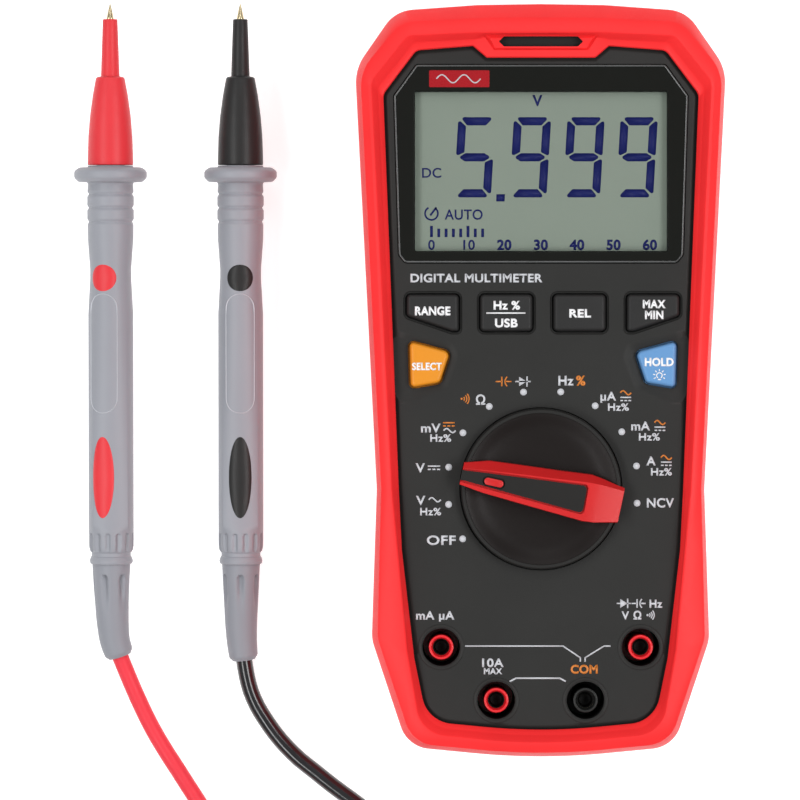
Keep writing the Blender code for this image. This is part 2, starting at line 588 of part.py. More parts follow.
def make_probe(name, lead):
    """The probe lies on its finger guard. Heights in the profiles run down from its tip, which is at 0."""
    grip = (0.36, 0.37, 0.41)
    pose = {"at": (lead["x"], PROBE_TIP_Y, PROBE_TIP_Z),
            "turn": (math.radians(PROBE_TILT_DEG - 90), 0, 0)}
    turned(f"{name}_probe_handle",
           [(0, -26.0), (3.6, -26.4), (3.6, -41.4), (8.4, -41.4), (9.3, -42.6), (9.3, -44.6), (8.4, -45.8),
            (6.1, -46.0), (5.9, -60.0), (5.35, -68.0), (5.9, -79.0), (5.9, -137.5), (5.5, -141.0),
            (4.9, -141.0), (4.9, -143.2), (0, -143.2)],
           grip, sides=18, roughness=0.5, **pose)
    turned(f"{name}_probe_tip", [(0, 0), (0.35, -0.4), (0.95, -3.0), (1.0, -4.0), (1.0, -25.7), (0, -25.7)],
           (0.75, 0.7, 0.55), sides=12, roughness=0.25, metallic=1.0, **pose)
    turned(f"{name}_probe_cap",
           [(1.86, -3.6), (2.05, -11.0), (2.3, -18.6), (3.4, -18.9), (4.5, -26.0), (5.3, -34.0), (5.9, -41.1),
            (4.0, -41.1), (4.0, -25.2), (1.4, -24.2), (1.4, -3.6)],
           lead["colour"], roughness=0.45, **pose)
    count = len(lead["boot"])
    radii = [4.9 + (3.2 - 4.9) * i / (count - 1) for i in range(count)]
    tube(f"{name}_probe_boot", lead["boot"], radii, grip, roughness=0.5)


def coil_frame(lead):
    """Where the cord meets its coil's outer turn, and its direction there. It winds clockwise."""
    angle = math.radians(lead["entry_deg"])
    outer = COIL_RADIUS + 2 * CORD_RADIUS
    centre = Vector((*lead["coil"], 0))
    touch = centre + outer * Vector((math.cos(angle), math.sin(angle), 0))
    heading = Vector((math.sin(angle), -math.cos(angle), 0))
    return centre, touch, heading, outer


def make_cord(name, lead):
    """A loose stretch of cord, the neat coil of the rest of it, and the shrouded plug on its end."""
    centre, touch, heading, outer = coil_frame(lead)
    low = COIL_REST + CORD_RADIUS
    high = COIL_REST + COIL_HEIGHT - CORD_RADIUS
    entry = touch - heading * LEAD_IN + Vector((0, 0, low))
    stop = entry - heading * GAP
    looks = {"roughness": 0.4}
    route = [*lead["route"], stop - heading * 4, stop]
    tube(f"{name}_lead_cord", smooth_curve(route, 4 * CORD_RADIUS), CORD_RADIUS, lead["colour"], **looks)
    inside, outside, chamfer = COIL_RADIUS - COIL_WIDTH / 2, COIL_RADIUS + COIL_WIDTH / 2, 1.5
    top = COIL_HEIGHT
    coil = turned(f"{name}_lead_coil",
                  [(inside, top - chamfer), (inside + chamfer, top), (outside - chamfer, top),
                   (outside, top - chamfer), (outside, chamfer), (outside - chamfer, 0),
                   (inside + chamfer, 0), (inside, chamfer)],
                  lead["colour"], at=(centre.x, centre.y, COIL_REST), sides=28, **looks)
    leaving = centre + Vector((outer, 0, high))
    end = leaving - Vector((0, LEAD_OUT, 0))
    for end_name, start, finish in (("in", entry, touch + Vector((0, 0, low))), ("out", leaving, end)):
        join(coil, cylinder(f"{name}_lead_{end_name}", CORD_RADIUS - 0.05, start, finish, None, sides=10))
    turned(f"{name}_lead_plug",
           [(0, 53.0), (1.2, 53.0), (1.95, 51.5), (1.95, 36.0), (3.3, 36.0), (3.3, 54.0), (4.6, 54.0),
            (4.6, 35.5), (6.2, 34.0), (6.2, 18.0), (4.6, 15.5), (3.0, 0), (0, 0)],
           lead["colour"], at=(end.x, end.y - GAP, high), turn=(math.pi / 2, 0, 0), roughness=0.45)


def main():
    make_holster()
    make_front_case()
    make_rear_case()
    make_fasteners()
    make_battery_door()
    make_tilt_stand()
    make_display()
    make_keypad()
    make_dial()
    make_board()
    make_fuse("amp", -3.0, 5.15, 38.0)
    make_fuse("milliamp", 14.0, 3.2, 32.0)
    make_batteries()
    make_jacks()
    for name, lead in LEADS.items():
        make_probe(name, lead)
        make_cord(name, lead)


clear_scene()
PARTS = new_collection("multimeter")
CUTTERS = new_collection("cutters")
main()
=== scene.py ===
"""The finished look of a handheld digital multimeter and its two test leads.

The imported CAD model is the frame. Each piece here is made in its place round it and rides on one of
its bodies. Sizes are in millimetres, in the CAD's own frame: +Z points out of the meter's face, +Y to
its top, and z = 0 is the surface it lies on. MM turns them into metres.
"""

import math

import bmesh
import bpy
from mathutils import Matrix, Vector


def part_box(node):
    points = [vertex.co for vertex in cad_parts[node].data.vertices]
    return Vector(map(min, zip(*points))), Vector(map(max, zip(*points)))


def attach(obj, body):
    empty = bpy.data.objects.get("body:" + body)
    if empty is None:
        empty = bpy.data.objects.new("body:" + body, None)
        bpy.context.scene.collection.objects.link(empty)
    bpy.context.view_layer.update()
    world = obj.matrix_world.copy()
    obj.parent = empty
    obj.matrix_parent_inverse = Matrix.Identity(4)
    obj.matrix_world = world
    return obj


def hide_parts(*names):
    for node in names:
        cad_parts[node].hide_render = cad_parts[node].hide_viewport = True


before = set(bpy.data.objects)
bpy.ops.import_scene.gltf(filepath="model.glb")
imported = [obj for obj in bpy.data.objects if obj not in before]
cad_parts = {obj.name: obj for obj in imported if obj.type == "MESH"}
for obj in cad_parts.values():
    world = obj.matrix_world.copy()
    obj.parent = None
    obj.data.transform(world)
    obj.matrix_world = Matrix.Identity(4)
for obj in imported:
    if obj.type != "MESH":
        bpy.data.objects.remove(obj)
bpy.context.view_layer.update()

MM = 0.001

# ---- sizes shared with the CAD model

SPLIT, FACE, CREST = 24.1, 45.0, 49.0  # heights of the case joint, the face and the holster's lip
DIAL_X, DIAL_Y, DIAL_RADIUS = 0.0, -26.9, 20.4
DIAL_REST = math.radians(168)
WELL_RADIUS, WELL_FLOOR = 4.7, 26.0
BUTTON_BASE, BUTTON_TOP = 42.5, 46.4
CORD_RADIUS = 2.1
PROBE_TIP_Y, PROBE_TIP_Z = 96.2, 11.0
PROBE_TILT = math.radians(2.1)

# An outline is a list of corners (x, y, radius). These five go from the top middle to the bottom middle.
HOLSTER_EDGE = [(0, 94.0, 0), (13.5, 93.8, 0), (15.9, 93.75, 0), (36.25, 92.3, 9), (46.26, 77.8, 12),
                (40.85, -27, 0), (41.35, -42, 0), (42.1, -64.5, 10), (33.2, -91.3, 8), (0, -94.5, 250)]
LIP_SHOULDER = [(0, 90.3, 0), (13.5, 90.2, 0), (15.9, 90.1, 0), (35.0, 89.2, 8), (44.9, 76.6, 11),
                (39.7, -27, 0), (40.1, -42, 0), (40.6, -64.0, 10), (31.9, -90.0, 8), (0, -93.1, 250)]
LIP_CREST = [(0, 86.6, 0), (13.5, 86.5, 0), (15.9, 86.4, 0), (33.2, 85.6, 3), (42.3, 74.2, 4),
             (37.2, -27, 0), (35.9, -42, 0), (33.6, -67.0, 10), (29.9, -87.5, 8), (0, -90.5, 250)]
TAB_SHELF = [(0, 85.9, 0), (12.6, 85.8, 0), (16.6, 84.9, 0), (31.6, 84.2, 2.8), (40.7, 72.8, 3.5),
             (36.2, -27, 0), (35.2, -42, 0), (32.4, -68.1, 11), (29.0, -86.0, 8), (0, -88.9, 250)]
FACE_EDGE = [(0, 80.3, 0), (13.5, 80.3, 0), (16.9, 83.2, 0), (31.0, 82.1, 2.5), (39.2, 71.2, 3),
             (35.35, -27, 0), (34.6, -42, 0), (31.5, -69.0, 12), (28.3, -84.7, 8), (0, -87.4, 250)]
LENS = [(-36.6, 70.9, 0.8), (-31.0, 78.6, 0.8), (31.0, 78.6, 0.8), (36.6, 70.9, 0.8),
        (35.4, 31.3, 1.5), (33.8, 29.3, 1.5), (-33.8, 29.3, 1.5), (-35.4, 31.3, 1.5)]
VIEW_X, VIEW_Y = (-31.3, 31.4), (32.3, 71.9)
BUTTONS = {
    "range_button": [(-33.35, 21.4, 1), (-20.45, 21.4, 1), (-20.45, 12.4, 0.6), (-22.1, 12.4, 0.6),
                     (-33.35, 16.2, 1)],
    "frequency_button": [(-15.05, 21.4, 1), (-2.15, 21.4, 1), (-2.15, 12.4, 1), (-15.05, 12.4, 1)],
    "relative_button": [(3.15, 21.4, 1), (16.05, 21.4, 1), (16.05, 12.4, 1), (3.15, 12.4, 1)],
    "max_min_button": [(21.45, 21.4, 1), (34.35, 21.4, 1), (34.35, 16.2, 1), (23.1, 12.4, 0.6),
                       (21.45, 12.4, 0.6)],
    "select_button": [(-32.7, 9.8, 1), (-22.6, 7.1, 1.4), (-25.1, -0.4, 1.4), (-32.4, -1.7, 1)],
    "hold_button": [(33.7, 9.8, 1), (33.4, -1.7, 1), (26.1, -0.4, 1.4), (23.6, 7.1, 1.4)],
}
JACKS = {"amp": (-11.1, -79.5), "common": (11.1, -79.5), "milliamp": (-24.8, -66.3), "volt": (24.8, -66.3)}
LEADS = {
    "red": {
        "x": -109.2,
        "roll": -19.0,  # how far the probe is turned about its own axis, in degrees
        "boot": [(-109.2, -47.1, 5.5), (-109.2, -52.0, 5.2), (-109.1, -57.0, 4.8), (-108.9, -62.0, 4.3),
                 (-108.4, -66.6, 3.8), (-107.1, -70.7, 3.4)],
        "route": [(-106.95, -71.1, 3.35), (-105.3, -75.2, 3.0), (-103.6, -79.3, 2.6), (-101.6, -83.8, 2.2),
                  (-99.6, -87.9, 2.15), (-97.4, -91.9, 2.15), (-94.9, -96.0, 2.15), (-92.3, -100.0, 2.15),
                  (-89.7, -104.1, 2.15), (-87.3, -107.8, 2.15), (-85.1, -111.5, 2.15), (-83.0, -115.3, 2.15)],
        "coil": (-98.4, -146.5),
        "entry_deg": 25.0,
    },
    "black": {
        "x": -75.9,
        "roll": 0.0,
        "boot": [(-75.9, -47.1, 5.5), (-75.9, -52.0, 5.2), (-75.9, -57.0, 4.8), (-75.9, -62.0, 4.3),
                 (-75.7, -67.0, 3.8), (-75.2, -71.6, 3.4)],
        "route": [(-75.12, -72.0, 3.35), (-74.5, -75.8, 3.0), (-73.5, -79.7, 2.6), (-71.9, -83.5, 2.2),
                  (-69.8, -87.0, 2.15), (-67.2, -90.7, 2.15), (-64.3, -94.1, 2.15), (-60.9, -97.4, 2.15),
                  (-57.1, -100.4, 2.15), (-52.6, -104.0, 2.15), (-47.7, -107.6, 2.15), (-42.6, -111.4, 2.15),
                  (-37.5, -115.2, 2.15), (-32.4, -119.1, 2.15)],
        "coil": (-30.2, -158.7),
        "entry_deg": 45.0,
    },
}
COIL_OUTER = 27.2  # radius of a coil's outermost turn, at the middle of the cord
COIL_LOW, COIL_HIGH = 2.15, 6.35  # heights of its two layers
COIL_TURNS = 4  # turns in the low layer
COIL_STEP_DEG = 30.0  # how far round a turn the cord takes to step over to the next
LEAD_IN, LEAD_OUT = 17.0, 19.0


# ---- outlines and lines


def mirrored(half):
    return half + [(-x, y, radius) for x, y, radius in reversed(half[1:-1])]


def box_outline(left, right, low, high, radius=0):
    return [(left, low, radius), (right, low, radius), (right, high, radius), (left, high, radius)]


def inset(corners, distance):
    """The same corners moved inwards by a distance, or outwards by a negative one."""
    if not distance:
        return corners
    points = [Vector(corner[:2]) for corner in corners]
    area = sum(a.cross(b) for a, b in zip(points, points[1:] + points[:1]))
    side = 1 if area > 0 else -1
    moved = []
    for i, here in enumerate(points):
        arriving = (here - points[i - 1]).normalized()
        leaving = (points[(i + 1) % len(points)] - here).normalized()
        normals = [Vector((-d.y, d.x)) * side for d in (arriving, leaving)]
        place = here + (normals[0] + normals[1]) / (1 + normals[0].dot(normals[1])) * distance
        radius = corners[i][2]
        moved.append((place.x, place.y, max(radius - distance, 0.3) if radius else 0))
    return moved


def arc_corner(before, here, after, radius, steps):
    """Points round a corner, from where its arc starts to where it ends."""
    back, onward = (before - here).normalized(), (after - here).normalized()
    half_angle = back.angle(onward) / 2
    reach = min(radius / math.tan(half_angle), (before - here).length * 0.49, (after - here).length * 0.49)
    radius = reach * math.tan(half_angle)
    centre = here + (back + onward).normalized() * radius / math.sin(half_angle)
    first, last = here + back * reach - centre, here + onward * reach - centre
    turn = math.atan2(first.cross(last), first.dot(last))
    return [centre + Matrix.Rotation(turn * step / steps, 2) @ first for step in range(steps + 1)]


def rounded(corners, steps=8, closed=True):
    """The points of an outline, or of an open line, with each corner's radius as an arc."""
    places = [Vector(corner[:2]) for corner in corners]
    points = []
    for i, here in enumerate(places):
        end = not closed and i in (0, len(places) - 1)
        if end or not corners[i][2]:
            points.append(here)
        else:
            points += arc_corner(places[i - 1], here, places[(i + 1) % len(places)], corners[i][2], steps)
    return points


def ring(corners, height, steps=8):
    return [Vector((point.x, point.y, height)) for point in rounded(corners, steps)]


def circle(radius, at, sides=64):
    turns = [math.tau * i / sides for i in range(sides)]
    return [(at[0] + radius * math.cos(turn), at[1] + radius * math.sin(turn), 0) for turn in turns]


def smooth_line(points, spacing):
    """Points about so far apart on the smooth curve (Catmull-Rom) through the given ones."""
    given = [Vector(point) for point in points]
    given = [2 * given[0] - given[1], *given, 2 * given[-1] - given[-2]]
    found = []
    for a, b, c, d in zip(given, given[1:], given[2:], given[3:]):
        steps = max(1, round((c - b).length / spacing))
        for step in range(steps):
            t = step / steps
            found.append(0.5 * (2 * b + (c - a) * t + (2 * a - 5 * b + 4 * c - d) * t * t
                                + (3 * b - a - 3 * c + d) * t ** 3))
    return found + [given[-2]]


def eased(value):
    """0 to 1 with a soft start and a soft end."""
    value = min(1, max(0, value))
    return value * value * (3 - 2 * value)


# ---- materials

GLOSS_SPREAD = 0.06  # how far the roughness goes up and down from its middle
KEY = {"roughness": 0.42, "grain": 0.25, "bump": 0.08, "mottle": 0.03, "shine": 0.3}
PRINT = {"roughness": 0.5, "grain": 0.3, "bump": 0.05}


def linear(colour):
    """Linear RGB of a colour that is given as 0 to 255 sRGB."""
    parts = [c / 255 for c in colour]
    return [c / 12.92 if c <= 0.04045 else ((c + 0.055) / 1.055) ** 2.4 for c in parts]


def put(node, **values):
    """Constant values on a node's input sockets. An underscore in a name stands for a space."""
    for socket, value in values.items():
        node.inputs[socket.replace("_", " ")].default_value = value


def look(name, colour, slot, roughness=0.45, grain=0.4, bump=0.12, mottle=0.05, patch=18.0, shine=0.5,
         **sockets):
    """A moulded or drawn surface: its colour varies in soft patches of patch mm, and its gloss and relief
    in grains of grain mm. The other sockets of the shader hold one value each."""
    finish = bpy.data.materials.new(name)
    finish.use_nodes = True
    nodes, links = finish.node_tree.nodes, finish.node_tree.links
    shader = nodes["Principled BSDF"]
    place = nodes.new("ShaderNodeTexCoord").outputs["Object"]

    def noise(size_mm, detail):
        texture = nodes.new("ShaderNodeTexNoise")
        put(texture, Scale=1000 / size_mm, Detail=detail)
        links.new(place, texture.inputs["Vector"])
        return texture.outputs["Fac"]

    def between(value, low, high):
        spread = nodes.new("ShaderNodeMapRange")
        put(spread, From_Min=0.3, From_Max=0.7, To_Min=low, To_Max=high)
        links.new(value, spread.inputs["Value"])
        return spread.outputs["Result"]

    patches, grains = noise(patch, 3), noise(grain, 2)
    tint = nodes.new("ShaderNodeMix")
    tint.data_type = "RGBA"
    base = linear(colour)
    put(tint, A=(*[c * (1 - mottle) for c in base], 1), B=(*[min(1, c * (1 + mottle)) for c in base], 1))
    links.new(between(patches, 0, 1), tint.inputs["Factor"])
    links.new(tint.outputs["Result"], shader.inputs["Base Color"])
    gloss = between(grains, max(0.02, roughness - GLOSS_SPREAD), min(1, roughness + GLOSS_SPREAD))
    links.new(gloss, shader.inputs["Roughness"])
    relief = nodes.new("ShaderNodeBump")
    put(relief, Strength=bump, Distance=grain * MM * 0.5)
    links.new(grains, relief.inputs["Height"])
    links.new(relief.outputs["Normal"], shader.inputs["Normal"])
    put(shader, **sockets, Specular_IOR_Level=shine)
    finish["slot"] = slot
    return finish


LOOKS = {
    "holster": look("holster_red", (232, 42, 44), "holster_rubber", 0.45, grain=0.35, bump=0.1, shine=0.2),
    "case": look("case_black", (39, 39, 38), "case_black", 0.5, grain=0.22, bump=0.16, mottle=0.06,
                 shine=0.17),
    # Near-black for the disc in each jack's socket: painted shade, standing for the dark inside of the bore.
    "socket_shade": look("socket_shade_black", (14, 13, 12), "case_black", 0.5, grain=0.3, bump=0.1, shine=0.1),
    "rim": look("lens_black", (24, 25, 23), "window_clear", 0.16, grain=3.0, bump=0.01, mottle=0.03,
                shine=0.08),
    # Light grey on the raised bead round the lens: a painted highlight, standing for the light that its edge
    # catches.
    "rim_edge_painted_highlight": look("lens_edge_painted_highlight", (60, 62, 62), "window_clear", 0.25, grain=3.0, bump=0.01, mottle=0.2),
    "pane": look("lens_clear", (6, 6, 6), "window_clear", 0.08, grain=6.0, bump=0.005, Alpha=0.04),
    "lcd": look("lcd_green_grey", (126, 137, 126), "lcd_green_grey", 0.35, grain=0.25, bump=0.02,
                mottle=0.015, shine=0.2),
    "ink": look("lcd_ink", (24, 31, 88), "lcd_green_grey", 0.4, grain=0.5, bump=0.02, shine=0.1),
    "key_dark": look("key_dark", (41, 41, 41), "key_dark", 0.48, grain=0.25, bump=0.12, shine=0.16),
    "key_orange": look("key_orange", (212, 134, 27), "key_orange", **KEY),
    "key_blue": look("key_blue", (92, 139, 187), "key_blue", **KEY),
    "key_white": look("key_print", (226, 227, 229), "key_dark", mottle=0.03, **PRINT),
    "dial": look("dial_black", (24, 20, 19), "dial_black", 0.42, grain=0.3, bump=0.05, shine=0.13),
    "rim_grey": look("dial_rim", (35, 35, 34), "dial_black", 0.5, grain=0.3, bump=0.08, shine=0.16),
    "inlay": look("dial_inlay", (34, 33, 32), "dial_black", 0.42, grain=0.25, bump=0.1, shine=0.16),
    "dial_red": look("dial_red", (193, 32, 33), "dial_red", 0.36, grain=0.35, bump=0.05, shine=0.25),
    "plate": look("plate_red", (150, 22, 30), "dial_red", 0.3, grain=0.35, bump=0.04, shine=0.2),
    "white": look("print_white", (188, 190, 195), "case_black", mottle=0.03, **PRINT),
    "amber": look("print_amber", (198, 115, 38), "case_black", mottle=0.03, **PRINT),
    "jack_red": look("jack_red", (214, 30, 38), "jack_red", 0.3, grain=0.4, bump=0.04),
    "jack_black": look("jack_black", (30, 31, 30), "jack_black", 0.35, grain=0.4, bump=0.04, shine=0.3),
    "contact": look("contact_metal", (214, 198, 150), "contact_metal", 0.28, grain=0.6, bump=0.05,
                    Metallic=1.0),
    "grip": look("probe_grey", (142, 144, 151), "probe_grey", 0.48, grain=0.3, bump=0.08, mottle=0.02,
                 shine=0.35),
    "tip": look("probe_metal", (208, 192, 156), "probe_metal", 0.24, grain=0.8, bump=0.04, Metallic=1.0),
    "boot": look("probe_boot_grey", (135, 137, 144), "probe_grey", 0.5, grain=0.3, bump=0.08, mottle=0.02,
                 shine=0.3),
    "label": look("probe_label_line", (182, 184, 191), "probe_grey", mottle=0.02, **PRINT),
    "red_soft": look("lead_red_cap", (211, 50, 57), "lead_red", 0.44, grain=0.3, bump=0.08, mottle=0.04,
                     shine=0.3),
    "black_soft": look("lead_black_cap", (38, 38, 38), "lead_black", 0.4, grain=0.3, bump=0.14, shine=0.22),
    "red_cord": look("lead_red_cord", (222, 50, 64), "lead_red", 0.5, grain=3.0, bump=0.01, mottle=0.03,
                     shine=0.3),
    "black_cord": look("lead_black_cord", (27, 28, 30), "lead_black", 0.16, grain=3.0, bump=0.005, shine=0.6),
    "steel": look("screw_steel", (176, 177, 180), "screw_steel", 0.3, grain=0.5, bump=0.06, Metallic=1.0),
    "white_plastic": look("carrier_white", (226, 225, 220), "carrier_white", 0.45, grain=0.4),
    "silicone": look("keypad_rubber", (138, 138, 141), "keypad_rubber", 0.65, grain=0.5),
    "board": look("board_green", (26, 122, 72), "board_green", 0.35, grain=1.6, bump=0.2, mottle=0.16,
                  patch=4.0),
    "ceramic": look("fuse_ceramic", (232, 231, 226), "fuse_ceramic", 0.32, grain=0.5, bump=0.04),
    "jacket": look("battery_jacket", (92, 104, 126), "battery_jacket", 0.3, grain=2.0, bump=0.03, mottle=0.2),
    "copper": look("shunt_metal", (219, 172, 138), "shunt_metal", 0.34, grain=0.7, Metallic=1.0),
}


# ---- making pieces


def linked(name, data):
    """A new object of the scene with this data."""
    obj = bpy.data.objects.new(name, data)
    bpy.context.scene.collection.objects.link(obj)
    return obj


def meshed(name, bm):
    """A new mesh object from a bmesh, which is used up."""
    mesh = bpy.data.meshes.new(name)
    bm.to_mesh(mesh)
    bm.free()
    return linked(name, mesh)


def piece(name, bm, finish, body="root", stands_for=(), bevel=0.0, sharp_deg=40.0, thick=0.0):
    """A piece of the model from a bmesh in millimetres. Where it has a bevel, its edges are rounded by that
    much. Where it is a flat print, thick raises it off the face."""
    bmesh.ops.recalc_face_normals(bm, faces=bm.faces)
    bmesh.ops.scale(bm, vec=(MM, MM, MM), verts=bm.verts)
    obj = meshed(name, bm)
    obj.data.materials.append(LOOKS[finish])
    obj.data.shade_smooth()
    if bevel:
        edges = obj.modifiers.new("Edges", "BEVEL")
        edges.width = bevel * MM
        edges.segments = 3
        edges.limit_method = "ANGLE"
        edges.angle_limit = math.radians(sharp_deg)
        edges.use_clamp_overlap = True
        obj.modifiers.new("Normals", "WEIGHTED_NORMAL")
    else:
        obj.data.set_sharp_from_angle(angle=math.radians(sharp_deg))
    if thick:
        solid = obj.modifiers.new("Ink", "SOLIDIFY")
        solid.thickness = thick * MM
        solid.offset = 1
    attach(obj, body)
    if stands_for:
        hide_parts(*stands_for)
    return obj


def skin(rings, closed=False, bm=None):
    """A bmesh, new or added to, with faces from each ring of points to the next and caps on the first and
    last, or closed round to the first."""
    bm = bmesh.new() if bm is None else bm
    rows = [[bm.verts.new(point) for point in points] for points in rings]
    for low, high in zip(rows, rows[1:] + rows[:1] if closed else rows[1:]):
        for i in range(len(low)):
            bm.faces.new((low[i - 1], low[i], high[i], high[i - 1]))
    if not closed:
        bm.faces.new(rows[0])
        bm.faces.new(rows[-1])
    return bm


def slab(corners, low, high, bm=None):
    return skin([ring(corners, low), ring(corners, high)], bm=bm)


def lathe(profile, sides, matrix, shape=None, bm=None):
    """A profile of corners (radius, height, fillet) turned about Z. It runs up or down its outside, and
    shape(angle, height, radius) may change the radius as it goes round."""
    bm = bmesh.new() if bm is None else bm
    line = rounded(profile, 4, closed=profile[0][0] > 0)
    rows = []
    for radius, height in line:
        if radius < 1e-6:
            rows.append([bm.verts.new(matrix @ Vector((0, 0, height)))])
            continue
        row = []
        for i in range(sides):
            angle = math.tau * i / sides
            here = shape(angle, height, radius) if shape else radius
            spot = Vector((here * math.cos(angle), here * math.sin(angle), height))
            row.append(bm.verts.new(matrix @ spot))
        rows.append(row)
    for low, high in zip(rows, rows[1:] + (rows[:1] if len(rows[0]) > 1 else [])):
        for i in range(sides):
            corners = [low[i - 1], low[i]] if len(low) > 1 else [low[0]]
            corners += [high[i], high[i - 1]] if len(high) > 1 else [high[0]]
            if len(corners) > 2:
                bm.faces.new(corners)
    return bm


def sweep(points, radii, sides, shape):
    """A round rod along points, closed at both ends. shape(angle, index, radius) changes its radius."""
    up = Vector((0, 0, 1))
    rings = []
    for i, (point, radius) in enumerate(zip(points, radii)):
        ahead = points[min(i + 1, len(points) - 1)] - points[max(i - 1, 0)]
        across = ahead.cross(up).normalized()
        over = across.cross(ahead).normalized()
        rings.append([])
        for k in range(sides):
            angle = math.tau * k / sides
            outward = across * math.cos(angle) + over * math.sin(angle)
            rings[-1].append(point + outward * shape(angle, i, radius))
    return skin(rings)


def carve(bm, *steps):
    """The bmesh after Booleans. Each step is UNION or DIFFERENCE, and a bmesh whose solids don't touch."""
    def temporary(shape):
        bmesh.ops.recalc_face_normals(shape, faces=shape.faces)
        return meshed("carving", shape)

    block = temporary(bm)
    tools = []
    for operation, shape in steps:
        tools.append(temporary(shape))
        boolean = block.modifiers.new("carving", "BOOLEAN")
        boolean.operation = operation
        boolean.solver = "EXACT"
        boolean.object = tools[-1]
    carved = bmesh.new()
    graph = bpy.context.evaluated_depsgraph_get()
    carved.from_mesh(block.evaluated_get(graph).to_mesh())
    for obj in [block, *tools]:
        bpy.data.objects.remove(obj, do_unlink=True)
    bmesh.ops.remove_doubles(carved, verts=carved.verts, dist=1e-4)
    bmesh.ops.dissolve_degenerate(carved, edges=carved.edges, dist=1e-4)
    return carved


def softened(node, finish, bevel, body="root"):
    """A CAD node's own shape in a new piece, its flats whole again and its edges rounded."""
    bm = bmesh.new()
    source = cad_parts[node]
    bm.from_mesh(source.data)
    bmesh.ops.transform(bm, matrix=source.matrix_world, verts=bm.verts)
    bmesh.ops.scale(bm, vec=(1 / MM, 1 / MM, 1 / MM), verts=bm.verts)
    bmesh.ops.remove_doubles(bm, verts=bm.verts, dist=0.002)
    bmesh.ops.dissolve_limit(bm, angle_limit=math.radians(1), verts=bm.verts, edges=bm.edges)
    return piece(f"{node}_finished", bm, finish, body, [node], bevel=bevel, sharp_deg=30)


# ---- stage, camera and lights

MIDDLE = (-30, 0, 20)  # of meter and probes together


def make_stage():
    bm = bmesh.new()
    bmesh.ops.create_grid(bm, x_segments=8, y_segments=8, size=1.6)
    floor = meshed("floor", bm)
    pale = look("floor_pale", (212, 212, 212), "", 0.9, grain=2.0, bump=0.02, mottle=0.004,
                Emission_Color=(1, 1, 1, 1), Emission_Strength=0.7)
    floor.data.materials.append(pale)


def make_light(name, at, energy, length, width):
    """An area lamp with its long side level, turned towards the middle of the scene."""
    lamp = bpy.data.lights.new(name, "AREA")
    lamp.energy = energy
    lamp.shape = "RECTANGLE"
    lamp.size = length
    lamp.size_y = width
    obj = linked(name, lamp)
    obj.location = Vector(at) * MM
    obj.rotation_euler = (Vector(MIDDLE) - Vector(at)).to_track_quat("-Z", "Y").to_euler()


def make_studio():
    world = bpy.data.worlds.new("studio")
    world.use_nodes = True
    put(world.node_tree.nodes["Background"], Color=(1, 1, 1, 1), Strength=0.34)
    bpy.context.scene.world = world
    bpy.context.scene.view_settings.view_transform = "Standard"
    make_light("left", (-1000, -250, 1450), 19.0, 1.9, 0.45)
    make_light("right", (950, -50, 1450), 16.5, 1.2, 0.6)
    make_light("head", (-30, 1150, 1400), 5.5, 0.7, 0.7)
    make_light("foot", (-30, -1150, 1400), 1.5, 0.7, 0.7)
    camera = bpy.data.cameras.new("camera")
    camera.lens = 217.1
    obj = linked("camera", camera)
    obj.location = Vector((-35.05, -4.8, 1245.0)) * MM
    bpy.context.scene.camera = obj


# ---- the leads


def coil_line(lead):
    """The middle of the cord in its coil. It winds clockwise, inwards in the low layer and then outwards
    in the high one, and it steps from turn to turn in one stretch of the circle."""
    whole, step = 360.0, COIL_STEP_DEG
    width = 2 * CORD_RADIUS
    moves = [(whole * (turn + 1) - step, -width) for turn in range(COIL_TURNS - 1)]
    rise = whole * COIL_TURNS - 2 * step
    moves += [(whole * (COIL_TURNS + turn + 1) - 2 * step, width) for turn in range(COIL_TURNS - 1)]
    travel_end = whole * (2 * COIL_TURNS - 1) + lead["entry_deg"]
    count = round(travel_end / 10)
    centre = Vector((*lead["coil"], 0))
    line = []
    for i in range(count + 1):
        travel = travel_end * i / count
        radius = COIL_OUTER + sum(change * eased((travel - start) / step) for start, change in moves)
        height = COIL_LOW + (COIL_HIGH - COIL_LOW) * eased((travel - rise) / step)
        angle = math.radians(lead["entry_deg"] - travel)
        line.append(centre + Vector((radius * math.cos(angle), radius * math.sin(angle), height)))
    return line


def make_lead(name, lead):
    """A cord from the probe's boot through its coil into its plug, the tie on the coil, and the plug."""
    coil = coil_line(lead)
    heading = (coil[0] - Vector((*lead["coil"], COIL_LOW))).normalized()
    heading = Vector((heading.y, -heading.x, 0))
    entry = [coil[0] - heading * distance for distance in (LEAD_IN + 4, LEAD_IN, 12, 8, 4)]
    leaving = [coil[-1] - Vector((0, distance, 0)) for distance in (5, 10, 15, LEAD_OUT, LEAD_OUT + 2)]
    boot_end = Vector(lead["boot"][-1])
    inside_boot = boot_end + (boot_end - Vector(lead["route"][1])).normalized() * 3
    line = smooth_line([inside_boot, *lead["route"], *entry], 2.5)[:-1] + coil + leaving
    curve = bpy.data.curves.new(f"{name}_cord", "CURVE")
    curve.dimensions = "3D"
    curve.bevel_depth = CORD_RADIUS * MM
    curve.bevel_resolution = 5
    curve.use_fill_caps = True
    spline = curve.splines.new("POLY")
    spline.points.add(len(line) - 1)
    for knot, point in zip(spline.points, line):
        knot.co = (*(point * MM), 1)
    spline.use_smooth = True
    curve.materials.append(LOOKS[f"{name}_cord"])
    cord = linked(f"{name}_cord", curve)
    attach(cord, "root")
    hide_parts(f"{name}_lead_cord", f"{name}_lead_coil")
    plug = make_plug(name, coil[-1] - Vector((0, LEAD_OUT, 0)))
    tie = make_tie(name, lead)


